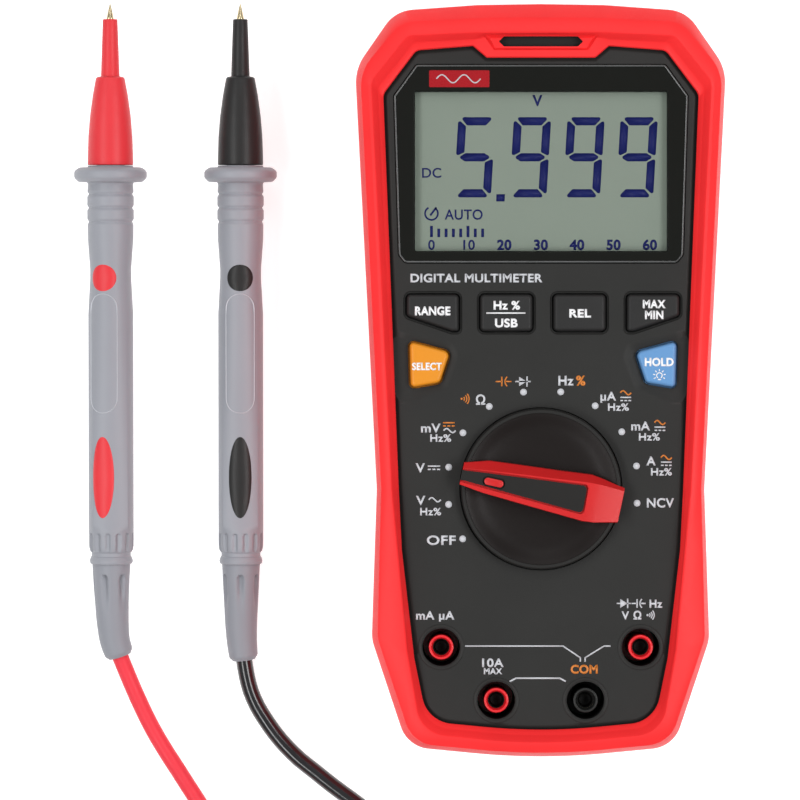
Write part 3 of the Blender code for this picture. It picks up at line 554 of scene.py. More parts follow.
def make_plug(name, start):
    """A shrouded 4 mm plug: a ribbed body with a collar, a sprung pin and the shroud round it."""
    pose = Matrix.Translation(start - Vector((0, 0.3, 0))) @ Matrix.Rotation(math.radians(90), 4, "X")

    def ribs(angle, height, radius):
        return radius - 0.35 * (0.5 + 0.5 * math.cos((height - 18) * math.tau / 2.6)) * (18 < height < 34)

    grip = [(6.2, 18 + i * 0.4, 0) for i in range(40)]
    body = lathe([(0, 0, 0), (2.9, 0, 0.5), (3.4, 8, 1), (4.4, 15.0, 1), *grip, (6.2, 34.0, 0.8),
                  (4.6, 35.5, 0.4), (4.6, 54.0, 0.3), (3.3, 54.0, 0.3), (3.3, 36.5, 0), (0, 36.5, 0)],
                 48, pose, ribs)

    def leaves(angle, height, radius):
        bulge = 0.2 * math.sin(math.pi * min(1, max(0, (height - 39) / 11)))
        gap = 0.35 * (abs(math.sin(2 * angle)) < 0.16) * (39 < height < 50)
        return radius + bulge - gap

    pin = lathe([(0, 36.5, 0), (1.75, 36.5, 0), *[(1.75, 38 + i, 0) for i in range(14)], (1.3, 52.8, 0.3),
                 (0, 53.2, 0)], 48, pose, leaves)
    return [piece(f"{name}_plug_body", body, f"{name}_soft", stands_for=[f"{name}_lead_plug"]),
            piece(f"{name}_plug_pin", pin, "contact")]


def make_tie(name, lead):
    """A soft strap round the coil's turns, with its tail folded over the top."""
    middle = COIL_OUTER - (COIL_TURNS - 1) * CORD_RADIUS
    half_width, top = COIL_TURNS * CORD_RADIUS + 0.5, COIL_HIGH + CORD_RADIUS
    loop = [(middle - half_width, 0.1, 2.2), (middle + half_width, 0.1, 2.2),
            (middle + half_width, top + 0.5, 2.6), (middle - half_width, top + 0.5, 2.6)]
    place = Matrix.Translation((*lead["coil"], 0)) @ Matrix.Rotation(math.radians(200), 4, "Z")
    outside, inside = rounded(loop, 6), rounded(inset(loop, 0.6), 6)
    rows = [[place @ Vector((point.x, side * 4, point.y)) for point in line]
            for line, side in ((outside, -1), (outside, 1), (inside, 1), (inside, -1))]
    bm = skin(rows, closed=True)
    tail = box_outline(middle - 5, middle + 6.5, -3.9, 3.9, 0.8)
    skin([[place @ point for point in ring(tail, height)] for height in (top + 0.3, top + 1.0)], bm=bm)
    return piece(f"{name}_coil_tie", bm, "black_soft", bevel=0.15)


# ---- the probes


def probe_pose(lead):
    """From a probe's own frame, its tip at 0 and pointing up Z, to where it lies."""
    return (Matrix.Translation((lead["x"], PROBE_TIP_Y, PROBE_TIP_Z))
            @ Matrix.Rotation(PROBE_TILT - math.radians(90), 4, "X")
            @ Matrix.Rotation(math.radians(lead["roll"]), 4, "Z"))


GRIP_PROFILE = [(0, -26.0, 0), (3.6, -26.2, 0.4), (3.6, -41.0, 0), (5.8, -41.0, 0), (5.9, -41.7, 0.3),
                (7.9, -41.4, 1.2), (9.3, -42.4, 1.0), (9.3, -44.1, 1.0), (8.2, -45.2, 1.0), (5.9, -45.3, 0.3),
                (5.75, -46.0, 0.5), (5.9, -47.7, 0.5), (5.5, -48.3, 0.25), (5.95, -48.9, 0.7),
                (5.95, -51.2, 0.7), (5.5, -51.8, 0.25), (5.95, -52.4, 0.7), (5.95, -54.7, 0.7),
                (5.5, -55.3, 0.25), (5.85, -56.0, 0.8), (5.8, -60.0, 5), (5.25, -67.4, 8), (5.25, -70.0, 8),
                (5.75, -79.0, 8), (5.75, -133.0, 2)]


def grip_radius(height):
    """The handle's radius where the inlays lie."""
    line = [(corner[1], corner[0]) for corner in GRIP_PROFILE if corner[1] <= -60]
    for (start, first), (end, second) in zip(line, line[1:]):
        if end <= height <= start:
            return first + (second - first) * eased((start - height) / (start - end))
    return line[-1][1]


def make_inlay(name, lead, kind, middle, half_width, half_length):
    """A soft pad let into the upper side of the handle, its middle a little proud."""
    pose = probe_pose(lead)
    rings = []
    for share, rise in ((1.0, -0.3), (1.0, 0.05), (0.96, 0.1), (0.86, 0.15), (0.7, 0.2), (0.4, 0.26)):
        row = []
        for i in range(48):
            angle = math.tau * i / 48
            height = middle + half_length * share * math.sin(angle)
            radius = grip_radius(height)
            turn = half_width * share * math.cos(angle) / radius - math.pi / 2
            reach = radius + rise
            row.append(pose @ Vector((reach * math.cos(turn), reach * math.sin(turn), height)))
        rings.append(row)
    piece(f"{name}_{kind}_inlay", skin(rings), f"{name}_soft")


def make_label_line(name, lead):
    """A fine raised line round the blank label field on the handle."""
    pose = probe_pose(lead)
    field = box_outline(-3.9, 3.9, -104.2, -73.8, 3.8)
    rows = []
    for distance, rise in ((-0.16, -0.05), (0.0, 0.13), (0.16, -0.05)):
        row = []
        for point in rounded(inset(field, distance), 8):
            radius = grip_radius(point.y)
            turn = point.x / radius - math.pi / 2
            reach = radius + rise
            row.append(pose @ Vector((reach * math.cos(turn), reach * math.sin(turn), point.y)))
        rows.append(row)
    piece(f"{name}_label_line", skin(rows, closed=True), "label")


def make_probe(name, lead):
    pose = probe_pose(lead)

    def flutes(angle, height, radius):
        across = abs((angle / math.tau * 13 + 0.25) % 1 - 0.5) * 2.75  # in mm round the handle
        reach = min(1, across / 0.9)
        into = -135.0 - height - 0.7 * reach ** 2
        return radius - 0.6 * eased(into / 0.35) * (1 - reach ** 2) ** 2 * (height > -139.9)

    fluted = [(5.75, -134.6 - i * 0.15, 0) for i in range(11)]
    grip = lathe([*GRIP_PROFILE, *fluted, (5.75, -137.0, 0), (5.72, -138.5, 0), (5.55, -139.5, 0),
                  (5.3, -139.95, 0.2), (5.0, -140.2, 0.2), (5.0, -141.1, 0.1), (5.25, -141.35, 0.3),
                  (5.55, -142.3, 0.5), (5.35, -143.05, 0.2), (4.7, -143.2, 0), (0, -143.2, 0)],
                 208, pose, flutes)
    piece(f"{name}_handle", grip, "grip", stands_for=[f"{name}_probe_handle"], sharp_deg=50)

    tip = lathe([(0, 0.4, 0), (0.14, 0.2, 0.1), (0.5, -1.2, 0.5), (0.95, -3.2, 0.5), (1.05, -4.2, 0.5),
                 (1.05, -25.7, 0), (0, -25.7, 0)], 32, pose)
    piece(f"{name}_tip", tip, "tip", stands_for=[f"{name}_probe_tip"])

    cap = lathe([(1.42, -3.6, 0.1), (1.88, -3.6, 0.2), (2.08, -9.0, 2), (2.38, -18.2, 0.15),
                 (3.3, -18.35, 0.2), (3.68, -18.7, 0.3), (4.5, -23.2, 8), (5.2, -28.4, 12),
                 (5.62, -33.5, 12), (5.76, -37.5, 8), (5.82, -40.7, 0.2), (5.7, -40.85, 0.1),
                 (4.0, -40.85, 0), (4.0, -25.2, 0), (1.4, -24.2, 0)], 64, pose)
    piece(f"{name}_cap", cap, f"{name}_soft", f"{name}_cap", [f"{name}_probe_cap"])

    make_inlay(name, lead, "round", -69.7, 3.5, 3.4)
    make_inlay(name, lead, "oval", -120.7, 3.0, 10.4)
    make_label_line(name, lead)
    make_boot(name, lead)


def make_boot(name, lead):
    """The tapered strain relief behind the handle, with long drop-shaped grooves round it."""
    first = Vector(lead["boot"][0])
    line = smooth_line([first + Vector((0, 0.35, 0)), first, *lead["boot"][1:]], 0.35)
    count = len(line)

    def taper(i):
        round_end = 1 - 0.2 * eased((i - count + 5) / 4) ** 2
        return (4.9 - 1.25 * i / (count - 1)) * round_end

    def grooves(angle, i, radius):
        turned = angle - math.radians(lead["roll"])
        across = abs((turned / math.tau * 6) % 1 - 0.5) * radius * math.tau / 6  # in mm round the boot
        start, end = 8, count * 0.6
        reach = min(1, across / 1.15)
        into = i - start - 2.5 * reach ** 2
        fading = 1 - eased((i - start) / (end - start))
        return radius - 1.1 * (1 - reach ** 2) ** 2 * eased(into / 1.2) * fading ** 1.5

    boot = sweep(line, [taper(i) for i in range(count)], 96, grooves)
    piece(f"{name}_boot", boot, "boot", stands_for=[f"{name}_probe_boot"])


# ---- the holster


def make_holster():
    """One soft shell: a plain wall, a rounded shoulder, a crest, and a steep inner side down to the face."""
    edge, shoulder, crest, shelf, face = (
        mirrored(half) for half in (HOLSTER_EDGE, LIP_SHOULDER, LIP_CREST, TAB_SHELF, FACE_EDGE))
    levels = [(edge, 3.4, 0.0), (edge, 2.0, 0.5), (edge, 1.2, 1.5), (edge, 0.7, 3.2), (edge, 0.5, 5.0),
              (edge, 0.25, 20.0), (edge, 0, 34.0), (edge, 0, 41.5), (edge, 0.3, 43.6),
              (shoulder, 0, 47.6), (shoulder, 0.6, 48.0), (crest, -0.7, 48.9), (crest, 0, CREST),
              (crest, 0.35, 48.75), (shelf, 0, 47.2), (shelf, 0.3, 46.9), (face, -0.25, 46.3),
              (face, 0, 45.9), (face, 0, FACE + 0.2), (edge, 3.7, FACE + 0.2), (edge, 3.7, 2.6),
              (edge, 8.0, 2.6), (edge, 8.0, 0.0)]
    shell = skin([ring(inset(outline, distance), height, 10) for outline, distance, height in levels],
                 closed=True)
    slot_cut = slab([(-10.5, 84.35, 0.3), (-9.2, 85.6, 0.5), (9.2, 85.6, 0.5), (10.5, 84.35, 0.3),
                     (9.2, 83.1, 0.5), (-9.2, 83.1, 0.5)], FACE - 1, CREST + 2)
    tab = [(-14.6, 86.2, 0.6), (14.6, 86.2, 0.6), (12.0, 81.7, 0.8), (-12.0, 81.7, 0.8)]
    recess = skin([ring(inset(tab, 1.2), 45.5), ring(inset(tab, 1.0), 45.6), ring(tab, 47.1),
                   ring(inset(tab, -0.2), 47.6)])
    piece("holster_shell", carve(shell, ("DIFFERENCE", recess), ("DIFFERENCE", slot_cut)), "holster",
          stands_for=["holster"], sharp_deg=28)


# ---- the case


def dish(bm, corners, depth, soft):
    """A cutter for a shallow hollow with sloping sides, soft mm wide."""
    slope = [ring(inset(corners, soft * share), FACE - depth * eased(share))
             for share in (1, 0.8, 0.6, 0.4, 0.2)]
    skin([*slope, ring(corners, FACE + 0.001), ring(inset(corners, -0.1), FACE + 2)], bm=bm)


def make_front_case():
    edge = mirrored(HOLSTER_EDGE)
    outer, inner = inset(edge, 4.0), inset(edge, 6.2)
    face = mirrored(FACE_EDGE)
    ceiling = FACE - 2.2
    shell = skin([ring(inner, ceiling), ring(inner, SPLIT), ring(outer, SPLIT), ring(outer, FACE - 2.0),
                  ring(inset(face, -0.6), FACE - 1.3), ring(inset(face, 0.5), FACE - 0.5),
                  ring(inset(face, 1.3), FACE)])
    tubes = bmesh.new()
    for x, y in JACKS.values():
        slab(circle(5.9, (x, y)), WELL_FLOOR, FACE - 1, tubes)
        lathe([(5.75, FACE - 0.6, 0), (5.75, FACE + 0.1, 0.2), (5.3, FACE + 0.28, 0.2),
               (4.85, FACE + 0.1, 0.2), (4.85, FACE - 0.6, 0)], 64, Matrix.Translation((x, y, 0)), bm=tubes)
    hollows = slab(inset(LENS, -0.2), FACE - 1.5, FACE + 2)
    for name in ("range_button", "frequency_button", "relative_button", "max_min_button"):
        dish(hollows, inset(BUTTONS[name], -1.0), 0.4, 0.45)
    for side in (-1, 1):
        pan = [(side * 40.0, 13.4, 1), (side * 33.0, 12.4, 3), (side * 21.2, 9.7, 4), (side * 20.0, 6.0, 4),
               (side * 23.2, -2.8, 4), (side * 31.0, -6.0, 4), (side * 40.0, -6.2, 1)]
        dish(hollows, pan, 0.9, 3.4)
    lathe([(DIAL_RADIUS - 1.2, FACE - 0.7, 0), (DIAL_RADIUS - 1.2, FACE + 2, 0), (DIAL_RADIUS, FACE + 2, 0),
           (DIAL_RADIUS - 0.1, FACE - 0.1, 0.1), (DIAL_RADIUS - 0.3, FACE - 0.7, 0.1)],
          128, Matrix.Translation((DIAL_X, DIAL_Y, 0)), bm=hollows)
    holes = slab(box_outline(*VIEW_X, *VIEW_Y), ceiling - 2, FACE)
    for corners in BUTTONS.values():
        slab(inset(corners, -0.45), ceiling - 2, FACE + 2, holes)
    slab(circle(8.5, (DIAL_X, DIAL_Y)), ceiling - 2, FACE + 2, holes)
    for x, y in JACKS.values():
        slab(circle(WELL_RADIUS, (x, y)), SPLIT, FACE + 2, holes)
    body = carve(shell, ("UNION", tubes), ("DIFFERENCE", hollows), ("DIFFERENCE", holes))
    piece("front_shell", body, "case", stands_for=["front_case"], bevel=0.18, sharp_deg=35)


def make_back():
    softened("rear_case", "case", 0.3)
    softened("battery_door", "case", 0.3)
    softened("tilt_stand", "case", 0.35, "stand")
    for number in (1, 2, 3, 4):
        make_screw_head(f"case_screw_{number}")
    make_screw_head("battery_door_screw")


def make_screw_head(node):
    """A CAD screw's shape turned finely, with a cross-shaped drive recess in its head."""
    low, high = [Vector(corner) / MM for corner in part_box(node)]
    middle = (low + high) / 2
    head_radius = (high.x - low.x) / 2
    head_high = 0.75 if node == "battery_door_screw" else 2.3
    shank = head_radius * 0.48
    place = Matrix.Translation((middle.x, middle.y, low.z))
    screw = lathe([(0, 0, 0), (head_radius * 0.7, 0.0, 1), (head_radius, head_high * 0.35, 0.4),
                   (head_radius, head_high, 0.1), (shank, head_high, 0), (shank, high.z - low.z - 1, 0),
                   (0, high.z - low.z, 0)], 48, place)
    half, arm = head_radius * 0.62, head_radius * 0.13
    cross = [(arm, half), (-arm, half), (-arm, arm), (-half, arm), (-half, -arm), (-arm, -arm), (-arm, -half),
             (arm, -half), (arm, -arm), (half, -arm), (half, arm), (arm, arm)]
    drive = slab([(middle.x + x, middle.y + y, 0) for x, y in cross], low.z - 1, low.z + head_high * 0.6)
    piece(f"{node}_finished", carve(screw, ("DIFFERENCE", drive)), "steel", stands_for=[node], bevel=0.05)


# ---- the display


def make_display():
    window = box_outline(*VIEW_X, *VIEW_Y, 0.4)
    border = skin([ring(LENS, FACE - 1.2), ring(LENS, FACE + 0.1), ring(inset(LENS, 0.5), FACE + 0.1),
                   ring(inset(LENS, 1.6), FACE + 0.05)])
    opening = skin([ring(window, FACE - 3), ring(window, FACE - 0.5), ring(inset(window, -1.0), FACE + 1)])
    piece("lens_border", carve(border, ("DIFFERENCE", opening)), "rim", stands_for=["display_window"],
          bevel=0.06)
    # The bead round the lens is real relief, and its lighter grey is a painted highlight on its edge.
    bead = [(0.05, 0.05), (0.1, 0.34), (0.28, 0.42), (0.46, 0.34), (0.5, 0.05)]
    edge = skin([ring(inset(LENS, distance), FACE + rise) for distance, rise in bead], closed=True)
    piece("lens_edge_painted_highlight", edge, "rim_edge_painted_highlight")
    piece("lens_pane", slab(inset(window, 0.05), FACE - 0.9, FACE - 0.55), "pane")
    glass = slab(box_outline(-34.0, 34.0, 30.2, 74.0, 0.4), 39.7, 42.4)
    piece("lcd_glass", glass, "lcd", stands_for=["lcd_panel"], bevel=0.1)
    make_reading()


SEGMENTS = {"5": "afgcd", "9": "abcdfg"}


def segment(letter, width, height, stroke, gap):
    """One bar of a seven-segment digit, in the digit's own upright frame."""
    half, inside = height / 2, stroke + gap / 2
    end = half - gap / 2
    shapes = {
        "a": [(gap, height), (width - gap, height), (width - inside, height - stroke),
              (inside, height - stroke)],
        "d": [(inside, stroke), (width - inside, stroke), (width - gap, 0), (gap, 0)],
        "g": [(gap * 1.2, half), (inside, half + stroke / 2), (width - inside, half + stroke / 2),
              (width - gap * 1.2, half), (width - inside, half - stroke / 2), (inside, half - stroke / 2)],
        "f": [(0, height - gap), (stroke, height - inside), (stroke, height - end + stroke / 2),
              (0, height - end)],
    }
    if letter in shapes:
        return shapes[letter]
    upper = shapes["f"]
    if letter == "b":
        return [(width - x, y) for x, y in reversed(upper)]
    return [(width - x, height - y) for x, y in upper]


def make_reading():
    """The figures, units and bar graph that the display shows."""
    bm = bmesh.new()
    width, height, base, slant = 9.3, 20.0, 45.7, 0.06
    for left, digit in ((-21.7, "5"), (-7.85, "9"), (5.5, "9"), (18.75, "9")):
        for letter in SEGMENTS[digit]:
            bar = segment(letter, width, height, 2.05, 0.5)
            face(bm, rounded([(left + x + y * slant, base + y, 0.45) for x, y in bar], 4))
    face(bm, [(-11.1, 44.7), (-9.0, 44.7), (-8.9, 46.5), (-11.0, 46.5)])
    for tick in range(8):
        tall = 2.8 if tick % 5 == 0 else 2.1
        x = -27.2 + 1.82 * tick
        face(bm, rounded(box_outline(x - 0.35, x + 0.35, 35.8, 35.8 + tall)))
    for number in range(7):
        write(bm, str(number * 10), (-27.2 + 9.07 * number, 33.95), 2.5, 0.06 if number < 2 else 0.13)
    write(bm, "V", (-0.8, 69.95), 2.7, 0.12)
    write(bm, "DC", (-27.2, 51.9), 2.5, 0.04)
    write(bm, "AUTO", (-19.1, 41.5), 2.6, 0.04, 0.92)
    stroke(bm, arc((-27.2, 41.7), 1.6, 0.6, 5.8, 30, clockwise=True), 0.42)
    stroke(bm, [(-27.5, 41.2), (-26.0, 43.2)], 0.5)
    piece("lcd_reading", lifted(bm, 42.42), "ink", thick=0.03)


# ---- prints


def face(bm, points):
    bm.faces.new([bm.verts.new((x, y, 0)) for x, y in points])


def lifted(bm, height):
    bmesh.ops.translate(bm, vec=(0, 0, height), verts=bm.verts)
    return bm


def stroke(bm, points, width):
    """A flat line of even width through the points, its corners mitred."""
    line = [Vector(point) for point in points]
    left, right = [], []
    for i, here in enumerate(line):
        arriving = (here - line[i - 1]).normalized() if i else (line[1] - here).normalized()
        leaving = (line[i + 1] - here).normalized() if i + 1 < len(line) else arriving
        normal = Vector((-arriving.y, arriving.x)) + Vector((-leaving.y, leaving.x))
        side = normal * (width / max(0.5, normal.length_squared))
        left.append(here + side)
        right.append(here - side)
    for i in range(len(line) - 1):
        face(bm, [left[i], left[i + 1], right[i + 1], right[i]])


def arc(at, radius, first, last, steps, clockwise=False):
    """Points of an arc between two angles from +X, or clockwise from +Y like a clock's hand."""
    turns = [first + (last - first) * i / steps for i in range(steps + 1)]
    if clockwise:
        return [(at[0] + radius * math.sin(a), at[1] + radius * math.cos(a)) for a in turns]
    return [(at[0] + radius * math.cos(a), at[1] + radius * math.sin(a)) for a in turns]


def dot(bm, at, radius):
    face(bm, [(x, y) for x, y, _ in circle(radius, at, 32)])


CAP_SHARE = 0.729  # a capital's height as a share of the built-in font's size


def write(bm, text, at, height, bold=0.1, stretch=1.0, align="CENTER"):
    """Letters whose capitals are height tall, with their middle at a point. Their strokes grow by bold."""
    curve = bpy.data.curves.new("letters", "FONT")
    curve.body = text
    curve.size = height / CAP_SHARE
    curve.align_x = align
    curve.space_character = 1.06
    obj = linked("letters", curve)
    mesh = bpy.data.meshes.new_from_object(obj.evaluated_get(bpy.context.evaluated_depsgraph_get()))
    bpy.data.objects.remove(obj, do_unlink=True)
    mesh.transform(Matrix.Translation((at[0], at[1] - height / 2, 0)) @ Matrix.Diagonal((stretch, 1, 1, 1)))
    letters = bmesh.new()
    letters.from_mesh(mesh)
    bmesh.ops.remove_doubles(letters, verts=letters.verts, dist=1e-4)
    outward = {}
    for edge in letters.edges:
        if edge.is_boundary:
            start, end = edge.verts
            along = (end.co - start.co).normalized()
            normal = Vector((along.y, -along.x, 0))
            if normal.dot(edge.link_faces[0].calc_center_median() - start.co) > 0:
                normal = -normal
            for vert in edge.verts:
                outward.setdefault(vert, []).append(normal)
    for vert, normals in outward.items():
        total = sum(normals, Vector())
        if total.length > 0.3:
            vert.co += total.normalized() * bold * min(1.5, len(normals) / total.length)
    letters.to_mesh(mesh)
    letters.free()
    bm.from_mesh(mesh)


def alternating(bm, at, width):
    """The sign for alternating current: one wave."""
    x, y = at
    stroke(bm, [(x + width * (i / 16 - 0.5), y + 0.5 * math.sin(math.tau * i / 16)) for i in range(17)], 0.36)


def direct(bm, at, width):
    """The sign for direct current: a line over three dashes."""
    x, y = at
    stroke(bm, [(x - width / 2, y + 0.35), (x + width / 2, y + 0.35)], 0.34)
    for shift in (-1, 0, 1):
        middle = x + shift * width * 0.37
        stroke(bm, [(middle - width * 0.13, y - 0.45), (middle + width * 0.13, y - 0.45)], 0.34)


def diode(bm, at, size):
    x, y = at
    face(bm, [(x - size * 0.62, y + size * 0.8), (x - size * 0.62, y - size * 0.8), (x + size * 0.62, y)])
    stroke(bm, [(x - size * 1.25, y), (x + size * 1.3, y)], 0.34)
    stroke(bm, [(x + size * 0.7, y + size * 0.86), (x + size * 0.7, y - size * 0.86)], 0.36)


def capacitor(bm, at, size):
    x, y = at
    stroke(bm, [(x - size * 1.3, y), (x - size * 0.3, y)], 0.34)
    stroke(bm, [(x - size * 0.28, y + size * 0.8), (x - size * 0.28, y - size * 0.8)], 0.36)
    curve = [(x + size * (0.25 + 0.35 * (i / 4 - 1) ** 2), y + size * 0.8 * (i / 4 - 1)) for i in range(9)]
    stroke(bm, curve, 0.34)
    stroke(bm, [(x + size * 0.3, y), (x + size * 1.3, y)], 0.34)


def beeper(bm, at, size):
    x, y = at
    dot(bm, (x - size * 1.5, y), 0.28)
    for radius in (0.75, 1.35, 1.95):
        stroke(bm, arc((x - size * 1.5, y), radius * size, math.radians(-42), math.radians(42), 10), 0.3)


def hertz_percent(white, at):
    write(white, "Hz%", at, 1.85, 0.08, 1.12)


def make_face_print():
    """The markings of the dial's positions, the jacks and the display, in white and amber."""
    white, amber = bmesh.new(), bmesh.new()
    write(white, "DIGITAL MULTIMETER", (-32.6, 25.6), 2.1, stretch=1.1, align="LEFT")
    for step in range(11):
        angle = math.radians(213.4 - 22.37 * step)
        dot(white, (DIAL_X + 0.45 + 23.85 * math.cos(angle), DIAL_Y + 0.7 + 23.85 * math.sin(angle)), 0.84)
    for text, x, y, height, stretch in (
            ("OFF", -24.8, -39.6, 2.3, 1.27), ("V", -29.9, -29.7, 2.3, 1.1), ("V", -30.0, -21.6, 2.3, 1.1),
            ("mV", -27.5, -11.7, 2.2, 1.15), ("Ω", -15.0, -4.7, 2.4, 1), ("Hz", 6.1, 0.1, 2.4, 1),
            ("NCV", 29.6, -30.3, 2.3, 1), ("mA µA", -26.4, -58.3, 2.1, 1.08), ("V", 21.0, -58.3, 2.0, 1),
            ("Ω", 24.0, -58.3, 2.0, 1), ("10A", -12.3, -70.1, 2.1, 1.18)):
        write(white, text, (x, y), height, stretch=stretch)
    alternating(white, (-26.4, -29.6), 3.0)
    hertz_percent(white, (-27.5, -32.5))
    direct(white, (-26.6, -21.6), 3.1)
    direct(amber, (-22.9, -10.8), 2.9)
    alternating(white, (-22.7, -12.4), 3.0)
    hertz_percent(white, (-25.0, -14.2))
    beeper(amber, (-18.3, -4.5), 0.95)
    capacitor(amber, (-9.3, -0.2), 1.5)
    diode(white, (-4.5, -0.2), 1.5)
    write(amber, "%", (9.9, 0.1), 2.4, 0.13)
    for unit, x, y, sign_x, under in (("µA", 16.6, -3.8, 21.1, 19.2), ("mA", 24.7, -11.2, 29.6, 26.9),
                                      ("A", 27.4, -19.9, 31.2, 29.9)):
        write(white, unit, (x, y), 2.2, stretch=1.06)
        alternating(amber, (sign_x, y + 0.8), 2.7)
        direct(white, (sign_x, y - 0.7), 2.7)
        hertz_percent(white, (under, y - 2.7))
    diode(white, (20.6, -55.4), 1.4)
    capacitor(white, (24.3, -55.4), 1.35)
    write(white, "Hz", (28.5, -55.4), 2.0, 0.09)
    beeper(white, (27.8, -58.3), 0.85)
    write(white, "MAX", (-12.0, -72.2), 1.5, 0.08)
    write(amber, "COM", (10.8, -71.7), 2.1, 0.12)
    stroke(white, [(-18.9, -66.0), (5.5, -66.0), (9.8, -68.9), (9.8, -69.9)], 0.34)
    stroke(white, [(11.0, -69.9), (11.0, -68.9), (15.7, -66.0), (17.3, -66.0)], 0.34)
    stroke(white, [(-7.9, -74.9), (-6.2, -74.0), (4.7, -74.0), (6.2, -74.8)], 0.4)
    for name, bm in (("white", white), ("amber", amber)):
        piece(f"face_print_{name}", lifted(bm, FACE + 0.01), name, thick=0.03)


def make_name_plate():
    """A plain red plate in the lens border's corner, with one thin smooth wave on it."""
    plate = slab(box_outline(-27.8, -12.8, 73.0, 77.2, 0.3), FACE - 0.3, FACE + 0.14)
    piece("name_plate", plate, "plate", bevel=0.04)
    mark = bmesh.new()
    stroke(mark, [(-26.0 + 0.25 * i, 75.1 + 1.0 * math.sin(math.tau * i / 22)) for i in range(45)], 0.3)
    piece("name_plate_mark", lifted(mark, FACE + 0.15), "white", thick=0.03)


# ---- buttons


KEY_LOOKS = {"select_button": "key_orange", "hold_button": "key_blue"}
KEY_EDGE = [(-0.9, 40.9), (-0.9, BUTTON_BASE), (0, BUTTON_BASE), (0, BUTTON_TOP - 0.9),
            (0.12, BUTTON_TOP - 0.5), (0.36, BUTTON_TOP - 0.2), (0.66, BUTTON_TOP - 0.04), (0.95, BUTTON_TOP)]
LAMP = Vector((29.4, 1.3))  # the middle of the lamp sign on the blue key


def key_body(button):
    return button.replace("button", "key")


def make_buttons():
    for name, corners in BUTTONS.items():
        key = skin([ring(inset(corners, distance), height) for distance, height in KEY_EDGE])
        piece(f"{name}_key", key, KEY_LOOKS.get(name, "key_dark"), key_body(name), [name], sharp_deg=60)
    labels = {name: bmesh.new() for name in BUTTONS}
    for name, text, x, y, height, bold, stretch in (
            ("range", "RANGE", -27.0, 17.4, 2.1, 0.13, 0.9),
            ("frequency", "Hz %", -8.6, 18.8, 2.1, 0.12, 1.05),
            ("frequency", "USB", -8.7, 14.4, 2.1, 0.12, 1.1),
            ("relative", "REL", 9.6, 16.8, 2.0, 0.13, 1.2),
            ("max_min", "MAX", 28.0, 19.1, 2.0, 0.12, 0.92),
            ("max_min", "MIN", 28.1, 16.4, 2.0, 0.12, 0.92),
            ("select", "SELECT", -28.4, 3.6, 1.8, 0.1, 0.87),
            ("hold", "HOLD", 29.3, 4.7, 2.0, 0.12, 0.92)):
        write(labels[f"{name}_button"], text, (x, y), height, bold, stretch)
    stroke(labels["frequency_button"], [(-13.6, 16.8), (-3.9, 16.8)], 0.34)
    lamp = labels["hold_button"]
    stroke(lamp, arc(LAMP, 0.68, math.radians(-60), math.radians(240), 20), 0.26)
    stroke(lamp, [(29.0, 0.3), (29.8, 0.3)], 0.32)
    for i in range(7):
        angle = math.radians(-30 + 40 * i)
        ray = Vector((math.cos(angle), math.sin(angle)))
        stroke(lamp, [LAMP + ray * reach for reach in (1.05, 1.6)], 0.26)
    for name, bm in labels.items():
        piece(f"{name}_label", lifted(bm, BUTTON_TOP + 0.01), "key_white", key_body(name), thick=0.03)


# ---- the dial


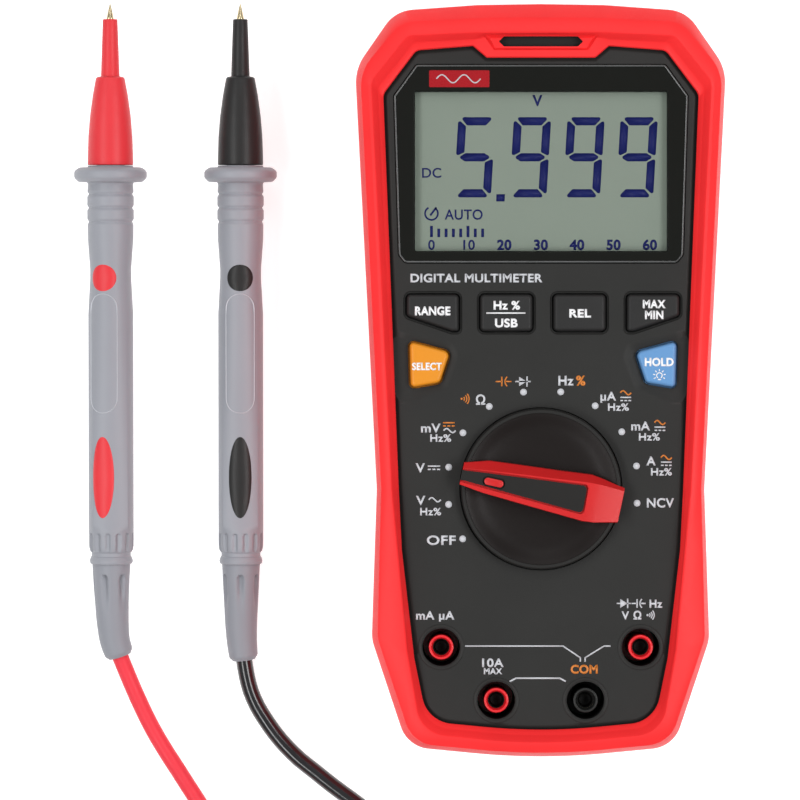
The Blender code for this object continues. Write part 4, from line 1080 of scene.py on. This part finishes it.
def make_dial():
    place = Matrix.Translation((DIAL_X, DIAL_Y, 0))
    turned = place @ Matrix.Rotation(DIAL_REST, 4, "Z")

    def plug(corners, *levels):
        """A solid in the handle's own frame, between outlines that are each (inset, height)."""
        return skin([[turned @ point for point in ring(inset(corners, distance), height)]
                     for distance, height in levels])

    bowl = smooth_line([(18.9, 48.0), (17.8, 47.55), (14.8, 46.35), (10.5, 45.8), (5.0, 45.65), (0, 45.62)],
                       0.8)
    knob = lathe([*[(point.x, point.y, 0) for point in reversed(bowl)], (19.3, 48.05, 0.15),
                  (19.7, 47.7, 0.3), (19.75, 45.4, 0.1), (8.0, 45.4, 0), (8.0, 42.3, 0), (4.6, 42.3, 0),
                  (4.6, 29.5, 0), (0, 29.5, 0)], 128, place)
    piece("dial_knob", knob, "dial", "dial", ["dial_disc"], sharp_deg=35)
    rim = lathe([(18.75, 47.9, 0), (18.9, 48.2, 0.15), (19.6, 48.15, 0.25), (19.88, 47.7, 0.2),
                 (19.88, 45.6, 0), (19.2, 45.6, 0), (19.2, 47.3, 0), (18.75, 47.3, 0)], 128, place)
    piece("dial_rim", rim, "rim_grey", "dial")

    # Cross sections along the handle, from its pointer to its tail: where it is, the two sides at its
    # foot, the two edges of its top, and how high its foot and top are.
    sections = [(20.1, -2.6, 3.1, -1.15, 3.0, 47.9, 50.9), (14.1, -4.3, 4.0, -1.75, 3.85, 46.4, 51.0),
                (6.0, -4.9, 4.6, -2.55, 4.4, 45.7, 51.0), (-3.0, -5.5, 5.2, -3.3, 5.0, 45.7, 51.0),
                (-11.6, -6.2, 5.8, -4.1, 5.55, 46.0, 51.0), (-14.5, -5.75, 5.5, -4.1, 5.3, 46.4, 50.9),
                (-20.2, -4.6, 4.3, -3.8, 4.0, 47.9, 49.6)]
    rings = []
    for x, left, right, top_left, top_right, foot, top in sections:
        waist = foot + (top - foot) * 0.45
        rings.append([turned @ Vector(point) for point in
                      ((x, left, foot), (x, left + 0.15, waist), (x, top_left, top), (x, top_right, top),
                       (x, right - 0.1, waist), (x, right, foot))])
    pocket = plug([(24, -0.75, 0), (-11.3, -3.55, 1.1), (-11.5, 4.1, 1.1), (24, 2.15, 0)], (0, 50.1), (0, 52))
    throat = plug([(24, -0.7, 0), (19.6, -0.75, 0), (19.6, 2.1, 0), (24, 2.1, 0)], (0, 48.3), (0, 52))
    piece("dial_grip", carve(skin(rings), ("DIFFERENCE", pocket), ("DIFFERENCE", throat)), "dial_red", "dial",
          ["dial_handle"], bevel=0.22, sharp_deg=25)
    slip = plug([(20.0, -0.6, 0.2), (-10.95, -3.15, 1.0), (-11.1, 3.7, 1.0), (20.0, 1.8, 0.2)],
                (0, 50.12), (0, 50.75))
    tongue = plug(box_outline(19.62, 20.15, -0.6, 1.9), (0, 48.35), (0, 50.7))
    mark = box_outline(9.5, 14.3, -0.05, 1.7, 0.85)
    nest = plug(mark, (-0.45, 50.2), (-0.45, 52))
    piece("dial_pointer_inlay", carve(slip, ("UNION", tongue), ("DIFFERENCE", nest)), "inlay", "dial",
          ["dial_inlay"], bevel=0.12)
    piece("dial_pointer_mark", plug(mark, (0, 50.15), (0, 51.0), (0.15, 51.1)), "dial_red", "dial")


# ---- the jacks


def make_jacks():
    for name, (x, y) in JACKS.items():
        place = Matrix.Translation((x, y, 0))
        sleeve = lathe([(2.5, 44.9, 0.12), (3.07, 44.9, 0.25), (3.07, 27.0, 0), (4.4, 27.0, 0),
                        (4.4, 24.4, 0), (2.8, 24.4, 0), (2.8, 41.8, 0), (2.1, 41.8, 0), (2.12, 43.6, 0.3)],
                       64, place)
        tint = "jack_black" if name == "common" else "jack_red"
        piece(f"jack_{name}_sleeve", sleeve, tint, stands_for=[f"jack_sleeve_{name}"])
        socket = lathe([(0, 26.5, 0), (2.03, 26.5, 0), (2.03, 41.5, 0.1), (2.5, 41.5, 0.1), (2.5, 23.9, 0),
                        (0, 23.9, 0)], 48, place)
        piece(f"jack_{name}_socket", socket, "contact", stands_for=[f"jack_socket_{name}"])
        # This near-black disc just inside the socket's mouth is painted shade: it stands for the dark inside
        # of the bore and hides the contact's inner wall.
        bore_shade = lathe([(0, 39.9, 0), (1.5, 40.0, 0.3), (1.9, 41.56, 0), (2.09, 41.6, 0), (2.09, 41.52, 0),
                      (2.0, 41.5, 0), (2.0, 39.4, 0), (0, 39.4, 0)], 32, place)
        piece(f"jack_{name}_seal", bore_shade, "socket_shade")


# ---- inside


INSIDE = {
    "white_plastic": ("display_carrier", "dial_rotor"), "silicone": ("keypad_membrane",),
    "board": ("main_board",), "jack_black": ("buzzer",), "copper": ("current_shunt",),
    "ceramic": ("fuse_amp", "fuse_milliamp"), "jacket": ("battery_1", "battery_2", "battery_3", "battery_4"),
    "contact": ("dial_wiper", "fuse_holder_amp", "fuse_holder_milliamp", "battery_contacts_upper",
                "battery_contacts_lower"),
}


def finish_inside():
    """The pieces inside the case keep their CAD shapes and get their own materials."""
    for finish, nodes in INSIDE.items():
        for node in nodes:
            for material_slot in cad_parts[node].material_slots:
                material_slot.material = LOOKS[finish]


make_studio()
for lead_name, lead in LEADS.items():
    make_lead(lead_name, lead)
    make_probe(lead_name, lead)
make_stage()
make_holster()
make_front_case()
make_back()
make_display()
make_face_print()
make_name_plate()
make_buttons()
make_dial()
make_jacks()
finish_inside()
